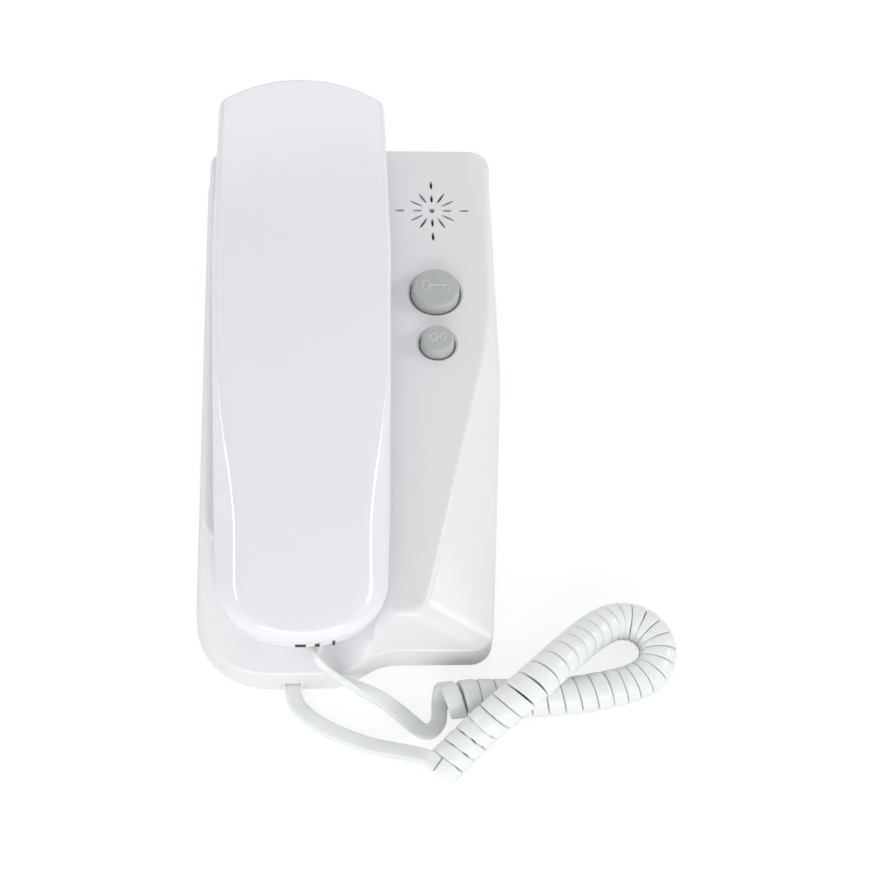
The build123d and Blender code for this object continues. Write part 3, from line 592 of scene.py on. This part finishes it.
# Camera, lamps and floor
@dataclass
class Studio:
    """The camera at the photograph's place, soft lamps and a pale floor."""

    eye: Point = (-0.0170, -0.3739, 0.5941)
    tilt: float = math.radians(32.0)
    swing: float = math.radians(3.57)
    focal_pixels: float = 2170.0
    frame_pixels: float = 870.0
    sensor: float = 36.0
    nearest: float = 0.01
    lamp_top: Point = (0.0, 1.0, 0.001)
    fill: float = 0.54
    backdrop: float = 1.0
    floor_reach: float = 2500.0
    floor_level: float = -0.3
    floor_points: int = 5
    floor_greys: Tuple[float, float] = (0.86, 0.88)
    floor_glow: float = 1.1
    floor_whitening: float = 0.72

    @staticmethod
    def hang(name: str, data: bpy.types.ID, axes: Sequence[Array], place: Point) -> bpy.types.Object:
        """Places a camera or lamp in the scene; it faces against the third of its axes.

        Args:
            name: the object's name.
            data: the camera or lamp.
            axes: where its sideways, upward and backward axes point.
            place: where it hangs.

        Returns:
            The object.
        """
        thing = bpy.data.objects.new(name, data)
        turn = np.eye(4)
        turn[:3, :3] = np.column_stack(axes)
        turn[:3, 3] = place
        thing.matrix_world = Matrix(turn.tolist())
        bpy.context.scene.collection.objects.link(thing)
        return thing

    def camera(self) -> None:
        """Makes the camera: it looks down across the object, tilted up from straight down and swung."""
        ahead = np.array([0.0, math.sin(self.tilt), -math.cos(self.tilt)])
        up = np.array([0.0, math.cos(self.tilt), math.sin(self.tilt)])
        side = np.array([1.0, 0.0, 0.0])
        forward = math.cos(self.swing) * ahead + math.sin(self.swing) * side
        right = math.cos(self.swing) * side - math.sin(self.swing) * ahead
        data = bpy.data.cameras.new("camera")
        data.sensor_width = self.sensor
        data.lens = self.focal_pixels / self.frame_pixels * self.sensor
        data.clip_start = self.nearest
        data.dof.use_dof = False
        bpy.context.scene.camera = self.hang("camera", data, (right, up, -forward), self.eye)

    def lamp(self, name: str, place: Point, aim: Point, size: Tuple[float, float], watts: float) -> None:
        """Makes one soft box.

        Args:
            name: the lamp's name.
            place: where it hangs.
            aim: the point that it faces.
            size: its width and height.
            watts: its power.
        """
        data = bpy.data.lights.new(name, "AREA")
        data.shape = "RECTANGLE"
        data.size, data.size_y = size
        data.energy = watts
        back = unit(np.array(place) - np.array(aim))
        side = unit(np.cross(self.lamp_top, back))
        self.hang(name, data, (side, np.cross(back, side), back), place)

    def lamps(self) -> None:
        """Hangs the soft boxes and sets the world's light."""
        self.lamp("softbox_top", (0.1, 1.0, 0.6), (0.0, 0.0, 0.0), (0.9, 0.5), 2.0)
        self.lamp("softbox_front", (0.0, -1.0, 0.44), (0.0, 0.0, 0.0), (1.3, 0.5), 6.6)
        self.lamp("softbox_left", (-0.84, 0.15, 0.5), (0.0, 0.0, 0.03), (0.12, 0.45), 2.0)
        self.lamp("softbox_right", (0.9, 0.1, 0.38), (0.0, 0.0, 0.03), (0.18, 0.42), 2.6)
        world = bpy.data.worlds.new("studio")
        bpy.context.scene.world = world
        world.use_nodes = True
        board = NodeBoard(world.node_tree)
        path = board.add("ShaderNodeLightPath")
        seen = board.add("ShaderNodeMath", set_operation="MAXIMUM", at_0=path.outputs["Is Camera Ray"],
                         at_1=path.outputs["Is Transmission Ray"])
        strength = board.add("ShaderNodeMix", at_0=seen.outputs[0], at_2=self.fill, at_3=self.backdrop)
        light = board.add("ShaderNodeBackground", Color=WHITE, Strength=strength.outputs[0])
        board.add("ShaderNodeOutputWorld", Surface=light.outputs[0])

    def floor(self) -> None:
        """Lays the pale floor: a plane with a faint grain, whitened where the camera sees it."""
        side = np.linspace(-self.floor_reach, self.floor_reach, self.floor_points)
        x, y = np.meshgrid(side, side)
        points = np.stack([x, y, np.full_like(x, self.floor_level)], axis=-1)
        floor = new_piece("floor", points, grid_faces(len(side), len(side), False).tolist())
        material = bpy.data.materials.new("floor_paper")
        material.use_nodes = True
        board = NodeBoard(material.node_tree)
        spot = board.add("ShaderNodeTexCoord").outputs["Object"]
        grain = board.add("ShaderNodeTexNoise", Vector=spot, Scale=60.0, Detail=4.0)
        greys = [(grey, grey, grey, 1.0) for grey in self.floor_greys]
        shade = colour_mix(board, grain.outputs["Fac"], *greys)
        paper = board.add("ShaderNodeBsdfDiffuse", Color=shade)
        glow = board.add("ShaderNodeEmission", Color=WHITE, Strength=self.floor_glow)
        path = board.add("ShaderNodeLightPath")
        part = board.add("ShaderNodeMath", set_operation="MULTIPLY", at_0=path.outputs["Is Camera Ray"],
                         at_1=self.floor_whitening)
        both = board.add("ShaderNodeMixShader", at_0=part.outputs[0], at_1=paper.outputs[0],
                         at_2=glow.outputs[0])
        board.add("ShaderNodeOutputMaterial", Surface=both.outputs[0])
        floor.data.materials.append(material)


# Cord
@dataclass
class CurlyCord:
    """The flat cord: its lead from the base, the curly stretch and its lead to the handset."""

    width: float = 4.7
    thickness: float = 2.3
    least_width: float = 1.5
    most_width: float = 5.0
    outer: float = 11.4
    turns: float = 37.5
    curl_pitch: float = 4.85
    loop_pitch: float = 3.6
    loop_shares: Tuple[float, float] = (0.44, 0.69)
    end_pitch: float = 6.4
    end_share: float = 0.95
    ease_share: float = 0.05
    steps_per_turn: int = 36
    width_share: float = 0.985
    width_gap: float = 0.16
    approach: Tuple[float, float] = (4.6, 2.3)
    twist: float = 60.0
    twist_in: Tuple[float, float] = (0.0, 4.5)
    twist_out: Tuple[float, float] = (13.0, 34.0)
    section_points: int = 20
    section_powers: Tuple[float, float] = (0.34, 0.5)
    spline_steps: int = 24
    axis_points: int = 1200
    lead_points: int = 90
    batch: int = 2000
    handset_route: Tuple[Point, ...] = (
        (-0.0126, -0.0880, 0.0229), (-0.0126, -0.0912, 0.0229),
        (-0.0110, -0.0940, 0.0204), (-0.0072, -0.0952, 0.0144), (-0.0006, -0.0958, 0.0084),
        (0.0066, -0.0976, 0.0044), (0.0122, -0.1012, 0.0024), (0.01695, -0.1053, 0.0015),
        (0.01955, -0.1075, 0.0013), (0.02215, -0.1075, 0.0014))
    base_route: Tuple[Point, ...] = (
        (-0.0190, -0.0876, 0.0020), (-0.0190, -0.0908, 0.0020),
        (-0.0189, -0.0960, 0.0016), (-0.0166, -0.1004, 0.0014), (-0.0112, -0.1050, 0.0013),
        (-0.0038, -0.1088, 0.0013), (0.0046, -0.1122, 0.0015), (0.0114, -0.1148, 0.0044))
    axis_route: Tuple[Point, ...] = (
        (0.0243, -0.1214, 0.0062), (0.0330, -0.1134, 0.0094), (0.0418, -0.1074, 0.0148),
        (0.0502, -0.1012, 0.0184), (0.0580, -0.0936, 0.0176), (0.0652, -0.0856, 0.0132),
        (0.0718, -0.0782, 0.0086), (0.0796, -0.0729, 0.0060), (0.0879, -0.0748, 0.0059),
        (0.0922, -0.0820, 0.0058), (0.0898, -0.0904, 0.0058), (0.0820, -0.0948, 0.0058),
        (0.0724, -0.0968, 0.0058), (0.0616, -0.0986, 0.0058), (0.0496, -0.0990, 0.0058),
        (0.0384, -0.0986, 0.0058), (0.0304, -0.0990, 0.0058), (0.0248, -0.0998, 0.0058))

    def spline_points(self, route: Sequence[Point]) -> Array:
        """Reads the points of a smooth spline through a route's corners.

        Args:
            route: the control points, in metres.

        Returns:
            The spline's points, in millimetres.
        """
        data = bpy.data.curves.new("route", "CURVE")
        data.dimensions = "3D"
        data.resolution_u = self.spline_steps
        spline = data.splines.new("NURBS")
        spline.points.add(len(route) - 1)
        spline.points.foreach_set("co", np.array([(*point, 1.0) for point in route]).ravel())
        spline.order_u = 3
        spline.use_endpoint_u = True
        holder = bpy.data.objects.new("route", data)
        bpy.context.scene.collection.objects.link(holder)
        bpy.context.view_layer.update()
        mesh = bpy.data.meshes.new_from_object(holder)
        spots = np.empty(len(mesh.vertices) * 3)
        mesh.vertices.foreach_get("co", spots)
        bpy.data.objects.remove(holder)
        bpy.data.curves.remove(data)
        bpy.data.meshes.remove(mesh)
        return spots.reshape(-1, 3) / MM

    def section(self, width: Array) -> Array:
        """The flat section: a rectangle with rounded edges, as a superellipse.

        Args:
            width: the section's width at each place.

        Returns:
            The section's points (u, v) at each place.
        """
        angle = np.linspace(0, 2 * math.pi, self.section_points, endpoint=False)
        cosine, sine = np.cos(angle), np.sin(angle)
        across = np.sign(cosine) * np.abs(cosine) ** self.section_powers[0]
        above = np.sign(sine) * np.abs(sine) ** self.section_powers[1]
        sideways = across[None] * width[:, None] / 2
        upward = np.broadcast_to(above[None] * self.thickness / 2, sideways.shape)
        return np.stack([sideways, upward], axis=-1)

    def helix(self) -> Tuple[Array, Array, Array, Array]:
        """The curly stretch: a circle round the axis, turning once for each pitch of the axis's length.

        The local pitch is the axis's pitch times one minus the circle's reach over the bend's radius,
        and the cord is narrowed there so that neighbouring turns overlap only at the loop's inside.

        Returns:
            The path, the directions across and above the cord, and its width, all along the path.
        """
        axis, length = even_points(self.spline_points(self.axis_route), self.axis_points)
        share = np.linspace(0, 1, len(axis))
        half = self.ease_share / 2
        inside = (smooth_step(share, self.loop_shares[0] - half, self.loop_shares[0] + half)
                  - smooth_step(share, self.loop_shares[1] - half, self.loop_shares[1] + half))
        opened = smooth_step(share, self.end_share - half, self.end_share + half)
        pitch = (self.curl_pitch + (self.loop_pitch - self.curl_pitch) * inside
                 + (self.end_pitch - self.curl_pitch) * opened)
        turned = np.concatenate([[0.0], np.cumsum(1 / ((pitch[1:] + pitch[:-1]) / 2))])
        turned *= self.turns / turned[-1]
        along = unit(np.gradient(axis, axis=0))
        bend = np.gradient(along, axis=0) / (length / (len(axis) - 1))
        turn = np.linspace(0, self.turns, round(self.turns * self.steps_per_turn) + 1)
        where = np.interp(turn, turned, share)

        def at(values: Array) -> Array:
            """Reads rows of values at the helix's places along the axis."""
            return np.stack([np.interp(where, share, values[:, k]) for k in range(3)], axis=-1)

        middle, ahead, curve = at(axis), unit(at(along)), at(bend)
        side = unit(np.cross(ahead, np.array([0.0, 0.0, 1.0])))
        up = np.cross(side, ahead)
        angle = (math.pi / 2 - 2 * math.pi * turn)[:, None]
        outward = side * np.cos(angle) + up * np.sin(angle)
        reach = (self.outer - self.thickness) / 2
        path = middle + outward * reach
        heading = unit(np.gradient(path, axis=0))
        across = unit(np.cross(outward, heading))
        local = np.interp(where, share, pitch) * (1 - reach * (outward * curve).sum(1))
        width = np.clip(local * self.width_share - self.width_gap, self.least_width, self.most_width)
        return path, across, unit(np.cross(heading, across)), width

    def lead(self, route: Sequence[Point], joint: Array, heading: Array,
             twist: float = 0.0) -> Tuple[Array, Array, Array]:
        """A lead that starts at a plug and ends at the curly stretch, its wide side level.

        Args:
            route: the lead's control points, in metres.
            joint: the curly stretch's end, in millimetres.
            heading: the direction in which the lead arrives there.
            twist: how many degrees the cord turns on its edge below the plug.

        Returns:
            The path and the directions across and above the cord.
        """
        ends = [tuple((joint - heading * back) * MM) for back in (*self.approach, 0.0)]
        points, length = even_points(self.spline_points([*route, *ends]), self.lead_points)
        ahead = unit(np.gradient(points, axis=0))
        level = unit(np.cross(ahead, np.array([0.0, 0.0, 1.0])))
        above = np.cross(level, ahead)
        reached = np.linspace(0, length, len(points))
        turned = smooth_step(reached, *self.twist_in) - smooth_step(reached, *self.twist_out)
        angle = (math.radians(twist) * turned)[:, None]
        LOG.info("lead of %.1f mm", length)
        return (points, level * np.cos(angle) + above * np.sin(angle),
                above * np.cos(angle) - level * np.sin(angle))

    @staticmethod
    def length_of(points: Array) -> float:
        """The length of a polyline, in metres."""
        return float(np.linalg.norm(np.diff(points, axis=0), axis=1).sum() * MM)

    def piece(self, name: str, path: Array, across: Array, above: Array, width: Array) -> bpy.types.Object:
        """Makes a stretch of cord, with a UV map that runs round and along it.

        Args:
            name: the piece's name.
            path: the cord's centre line.
            across: the direction of its width.
            above: the direction of its thickness.
            width: its width along the path.

        Returns:
            The piece.
        """
        grid = capped(carried_section(path, across, above, self.section(width)))
        piece = new_piece(name, grid, grid_faces(grid.shape[0], grid.shape[1], True).tolist(), crease=60.0)
        mesh = piece.data
        spots = np.empty(len(mesh.vertices) * 3)
        mesh.vertices.foreach_get("co", spots)
        spots = spots.reshape(-1, 3) / MM
        reached = reached_along(path)
        corners = np.empty(len(mesh.loops), np.int32)
        mesh.loops.foreach_get("vertex_index", corners)
        nearest = np.empty(len(spots), int)
        for first in range(0, len(spots), self.batch):
            gap = ((spots[first:first + self.batch, None] - path[None]) ** 2).sum(2)
            nearest[first:first + self.batch] = gap.argmin(1)
        off = spots - path[nearest]
        around = np.arctan2((off * above[nearest]).sum(1), (off * across[nearest]).sum(1))
        uv = np.stack([around * self.width / (2 * math.pi), reached[nearest]], axis=-1) * MM
        layer = mesh.uv_layers.new(name="cord_run")
        layer.data.foreach_set("uv", uv[corners].ravel())
        return piece

    def build(self, paints: Paints) -> None:
        """Builds both stretches and hides the CAD cord's nodes.

        Args:
            paints: the materials.
        """
        path, across, above, width = self.helix()
        start_heading = unit(path[1] - path[0])
        end_heading = unit(path[-2] - path[-1])
        base_path, base_across, base_above = self.lead(self.base_route, path[0], start_heading)
        hand_path, hand_across, hand_above = self.lead(self.handset_route, path[-1], end_heading, self.twist)
        sign = np.sign((base_across[-1] * across[0]).sum())
        whole = np.concatenate([base_path[:-1], path])
        stretch = self.piece(
            "cord_base_stretch", whole, np.concatenate([base_across[:-1] * sign, across]),
            np.concatenate([base_above[:-1] * sign, above]),
            np.concatenate([np.full(len(base_path) - 1, self.width), width]))
        lead = self.piece("cord_handset_stretch", hand_path, hand_across, hand_above,
                          np.full(len(hand_path), self.width))
        for piece in (stretch, lead):
            paints.dress(piece, "cord_plastic")
        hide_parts("cord_coil", "cord_base_lead")
        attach(stretch, "base")
        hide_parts("cord_handset_lead")
        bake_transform(lead)
        LOG.info("curly stretch and base lead %.3f m, handset lead %.3f m",
                 self.length_of(whole), self.length_of(hand_path))


# Handset
@dataclass
class HandsetCover:
    """The handset's front moulding: a bowed face with a flank that widens towards the mouthpiece."""

    centre: float = -16.3
    parting: float = 31.0
    foot: Tuple[float, float] = (-95.0, 36.5)
    middle: Tuple[float, float] = (10.0, 47.0)
    top: Tuple[float, float] = (119.6, 42.5)
    crown: float = 0.9
    crown_half_width: float = 26.0
    edge_top: float = 2.6
    edge_low: float = 6.2
    edge_foot: float = 2.6
    wall_top: float = 3.0
    wall_low: float = 1.4
    least_wall: float = 0.8
    corner_share: float = 0.12
    flank_bulge: Tuple[float, float] = (0.18, 0.82)
    crease_reach: float = 1.8
    crease_share: float = 0.5
    flank_rows: int = 18
    flank_steps: int = 24
    crease_steps: int = 8
    face_steps: int = 18
    spine: Tuple[float, float] = (-72.0, 88.0)
    lower_span: Tuple[float, float] = (-62.0, 0.0)
    thickness: float = 1.8
    lip: Tuple[Tuple[float, float], ...] = ((0.35, 0.0), (0.1, 0.1), (0.0, 0.35))
    shape: RoundedOutline = RoundedOutline(
        points=((-43.5, 101.0), (-16.3, 119.6), (10.9, 101.0), (11.9, 40.0), (10.0, -50.0), (8.3, -87.5),
                (-16.3, -95.0), (-40.9, -87.5), (-42.6, -50.0), (-44.5, 40.0)),
        radii=(4.0, 42.0, 4.0, 300.0, 300.0, 19.0, 35.4, 19.0, 300.0, 300.0))

    def bow(self, y: Array) -> Array:
        """The face's height along the handset: the circle through its foot, middle and top.

        Args:
            y: places along the handset.

        Returns:
            The heights on the centre line.
        """
        (ay, az), (by, bz), (cy, cz) = self.foot, self.middle, self.top
        left = np.array([[by - ay, bz - az], [cy - by, cz - bz]]) * 2
        right = np.array([by**2 - ay**2 + bz**2 - az**2, cy**2 - by**2 + cz**2 - bz**2])
        middle_y, middle_z = np.linalg.solve(left, right)
        radius = math.hypot(ay - middle_y, az - middle_z)
        return middle_z + np.sqrt(np.maximum(radius**2 - (y - middle_y) ** 2, 0))

    def face_height(self, spots: Array) -> Array:
        """The face's height: the bow less a crown that falls with the square of the distance sideways.

        Args:
            spots: places (x, y).

        Returns:
            The heights.
        """
        side = (spots[..., 0] - self.centre) / self.crown_half_width
        return self.bow(spots[..., 1]) - self.crown * side**2

    def surface(self) -> Array:
        """The outer surface: rows from the parting line over wall, flank and crease to the middle.

        Returns:
            The grid of points, each row once round the handset.
        """
        outline, inward = self.shape.sample()
        lower = 1 - smooth_step(outline[:, 1], *self.lower_span)
        side_edge = self.edge_top + (self.edge_low - self.edge_top) * lower
        end_edge = np.where(outline[:, 1] < 0, self.edge_foot, self.edge_top)
        edge = np.sqrt((side_edge * inward[:, 0]) ** 2 + (end_edge * inward[:, 1]) ** 2)
        crease = outline + inward * edge[:, None]
        crease_height = self.face_height(crease)
        flat = lower * np.abs(inward[:, 0])
        tall = crease_height - self.parting
        wall = np.clip(tall - self.wall_top, self.least_wall, None) * (1 - flat) + self.wall_low * flat
        start = np.column_stack([outline, self.parting + wall])
        end = np.column_stack([crease, crease_height])
        corner = np.column_stack([outline + inward * edge[:, None] * self.corner_share, crease_height])
        chord = (start + end) / 2
        pull = (self.flank_bulge[0] + self.flank_bulge[1] * (1 - flat))[:, None]
        control = chord + (corner - chord) * pull
        flank = bezier(start, control, end, np.linspace(0, 1, self.flank_steps))
        reach = np.minimum(self.crease_reach, edge * self.crease_share)[:, None]
        inner = crease + inward * reach
        inner_point = np.column_stack([inner, self.face_height(inner)])
        turn = bezier(flank[self.flank_rows], end, inner_point, np.linspace(0, 1, self.crease_steps))[1:]
        spine = np.column_stack([
            np.full(len(outline), self.centre), np.clip(outline[:, 1], *self.spine)])
        blend = np.linspace(0, 1, self.face_steps)[1:, None, None]
        face = inner[None] * (1 - blend) + spine[None] * blend
        face = np.concatenate([face, self.face_height(face)[..., None]], axis=-1)
        lip = np.stack([
            np.column_stack([outline + inward * inset, np.full(len(outline), self.parting + rise)])
            for inset, rise in self.lip])
        return np.concatenate([lip, flank[:self.flank_rows + 1], turn, face])

    def build(self, paints: Paints) -> None:
        """Builds the cover and gives it its wall.

        Args:
            paints: the materials.
        """
        grid = self.surface()
        faces = grid_faces(grid.shape[0], grid.shape[1], True).tolist()
        cover = new_piece("handset_cover", grid, faces, crease=50.0)
        wall = cover.modifiers.new("wall", "SOLIDIFY")
        wall.thickness = self.thickness * MM
        wall.offset = -1.0
        paints.dress(cover, "handset_plastic")
        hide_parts("handset_front_shell")
        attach(cover, "handset")


@dataclass
class SocketGapShade:
    """Painted shade: small dark blocks that stand for the shade in the gaps round the cord where it enters
    the handset's foot.
    """

    gaps: Tuple[Tuple[Point, Point], ...] = (
        ((-18.3, -92.2, 27.2), (-15.2, -91.4, 28.6)),
        ((-12.6, -92.0, 27.0), (-11.2, -91.2, 29.2)),
        ((-7.5, -91.2, 26.4), (-6.7, -90.2, 30.4)))

    def build(self, paints: Paints) -> None:
        """Builds the gaps' painted shade as small dark blocks set into the foot's underside.

        Args:
            paints: the materials.
        """
        corners = np.array([(-1, -1), (1, -1), (1, 1), (-1, 1)], float)
        grids = []
        for low, high in self.gaps:
            middle, half = (np.array(low) + high) / 2, (np.array(high) - low) / 2
            ring = np.column_stack([corners * half[:2] + middle[:2], np.full(len(corners), middle[2])])
            levels = np.array([-half[2], half[2]])[:, None, None] * np.array([0.0, 0.0, 1.0])
            grids.append((capped(ring[None] + levels), True))
        points, faces = joined_grids(grids)
        gap_shade = new_piece("socket_gap_shade", points, faces, smooth=False)
        # the dark plastic finish here is painted shade for the gaps, not a dark part
        paints.dress(gap_shade, "dark_plastic")
        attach(gap_shade, "handset")


# Push buttons
@dataclass
class PushButton:
    """A round button cap with a softly domed top and a raised sign."""

    node: str
    centre: Tuple[float, float]
    radius: float
    strokes: Tuple[Tuple[Tuple[float, float], ...], ...]
    top: float = 29.5
    base: float = 21.7
    flange_top: float = 23.7
    flange: float = 1.6
    stem: float = 2.2
    stem_end: float = 18.9
    dome: float = 0.35
    draft: float = 0.4
    edge: float = 1.1
    stroke: float = 0.34
    lift: float = 0.22
    seam: float = 0.05
    round_steps: int = 72
    dome_steps: int = 14
    edge_steps: int = 9
    bead_sides: int = 10
    bead_steps: int = 40

    def cap_height(self, radius: Array) -> Array:
        """The top's height: it falls with the square of the distance from the middle."""
        return self.top - self.dome * (radius / self.radius) ** 2

    def cap(self) -> Array:
        """The button as a turned surface, from the middle of its top to the middle of its stem.

        Returns:
            The grid of points.
        """
        flat = self.radius - self.draft - self.edge
        across = np.linspace(0, flat, self.dome_steps)
        top = np.column_stack([across, self.cap_height(across)])
        angle = np.linspace(0, math.pi / 2, self.edge_steps)[1:]
        shoulder = float(self.cap_height(np.array(flat)))
        rounded = np.column_stack([
            flat + self.edge * np.sin(angle), shoulder - self.edge + self.edge * np.cos(angle)])
        rest = np.array([
            (self.radius, self.flange_top + self.seam), (self.radius, self.flange_top),
            (self.radius + self.flange, self.flange_top), (self.radius + self.flange, self.base),
            (self.stem, self.base), (self.stem, self.stem_end), (0.0, self.stem_end)])
        return turned_surface(self.centre, np.concatenate([top, rounded, rest]), self.round_steps)

    def beads(self) -> List[Tuple[Array, bool]]:
        """The raised strokes: a half-round bead carried along each line of the sign.

        Returns:
            One closed tube for each stroke.
        """
        angle = np.linspace(0, 2 * math.pi, self.bead_sides, endpoint=False)
        section = np.column_stack([np.cos(angle) * self.stroke, np.sin(angle) * self.lift])
        tubes = []
        for stroke in self.strokes:
            corners = np.array(stroke) + np.array(self.centre)
            line = np.column_stack([corners, np.zeros(len(corners))])
            flat, _ = even_points(line, self.bead_steps)
            distance = np.linalg.norm(flat[:, :2] - np.array(self.centre), axis=1)
            flat[:, 2] = self.cap_height(distance)
            heading = unit(np.gradient(flat, axis=0))
            above = np.broadcast_to(np.array([0.0, 0.0, 1.0]), heading.shape)
            across = unit(np.cross(heading, above))
            tubes.append((capped(carried_section(flat, across, above, section)), True))
        return tubes

    def build(self, paints: Paints) -> None:
        """Builds the cap with its sign.

        Args:
            paints: the materials.
        """
        points, faces = joined_grids([(self.cap(), True)])
        cap = new_piece(f"{self.node}_cap", points, faces)
        paints.dress(cap, "button_plastic")
        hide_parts(self.node)
        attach(cap, self.node)
        points, faces = joined_grids(self.beads())
        sign = new_piece(f"{self.node}_sign", points, faces)
        paints.dress(sign, "button_plastic", "button_sign")
        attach(sign, self.node)


def ring_stroke(centre: Tuple[float, float], half: Tuple[float, float], start: float = 0.0,
                end: float = 360.0, count: int = 25) -> Tuple[Tuple[float, float], ...]:
    """A stroke along an ellipse: the centre plus the half sizes times cosine and sine.

    Args:
        centre: the ellipse's middle.
        half: its half width and half height.
        start: the first angle in degrees.
        end: the last angle in degrees.
        count: how many points it has.

    Returns:
        The stroke's points.
    """
    angle = np.radians(np.linspace(start, end, count))
    x = centre[0] + half[0] * np.cos(angle)
    y = centre[1] + half[1] * np.sin(angle)
    return tuple(zip(x.tolist(), y.tolist()))


KEY_SIGN = (
    ring_stroke((-3.3, 0.6), (1.15, 1.9)),
    ((-2.1, 0.8), (4.2, 0.8), (4.6, 0.2), (4.4, -0.7), (3.6, -0.8)),
    ((2.2, 0.8), (2.2, -0.7), (2.9, -0.7)),
)
MUTE_SIGN = (
    ((-2.9, -0.3), (-2.9, 1.1), (-1.9, 1.1), (-0.6, 2.1), (-0.6, -1.3), (-1.9, -0.3), (-2.9, -0.3)),
    ring_stroke((-0.6, 0.4), (1.5, 1.5), -42.0, 42.0),
    ring_stroke((-0.6, 0.4), (2.7, 2.7), -38.0, 38.0),
    ((-2.2, -1.8), (2.3, 2.3)),
)


def main() -> None:
    """Builds the scene: frame, camera, cord, covers, buttons, finishes and studio."""
    logging.basicConfig(level=logging.INFO, format="%(name)s: %(message)s")
    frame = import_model()
    bpy.context.scene.view_settings.view_transform = "Standard"
    studio = Studio()
    studio.camera()
    paints = Paints(frame)
    paints.dress_nodes()
    parts: List[Tuple[str, Callable[[Paints], None]]] = [
        ("curly cord", CurlyCord().build),
        ("handset cover", HandsetCover().build),
        ("socket gap shade", SocketGapShade().build),
        ("door button", PushButton("door_button", (26.7, 35.1), 8.0, KEY_SIGN).build),
        ("bell button", PushButton("bell_button", (26.7, 15.3), 5.6, MUTE_SIGN).build),
    ]
    for label, build in parts:
        build(paints)
        LOG.info("built %s", label)
    studio.lamps()
    studio.floor()


if __name__ == "__main__":
    main()
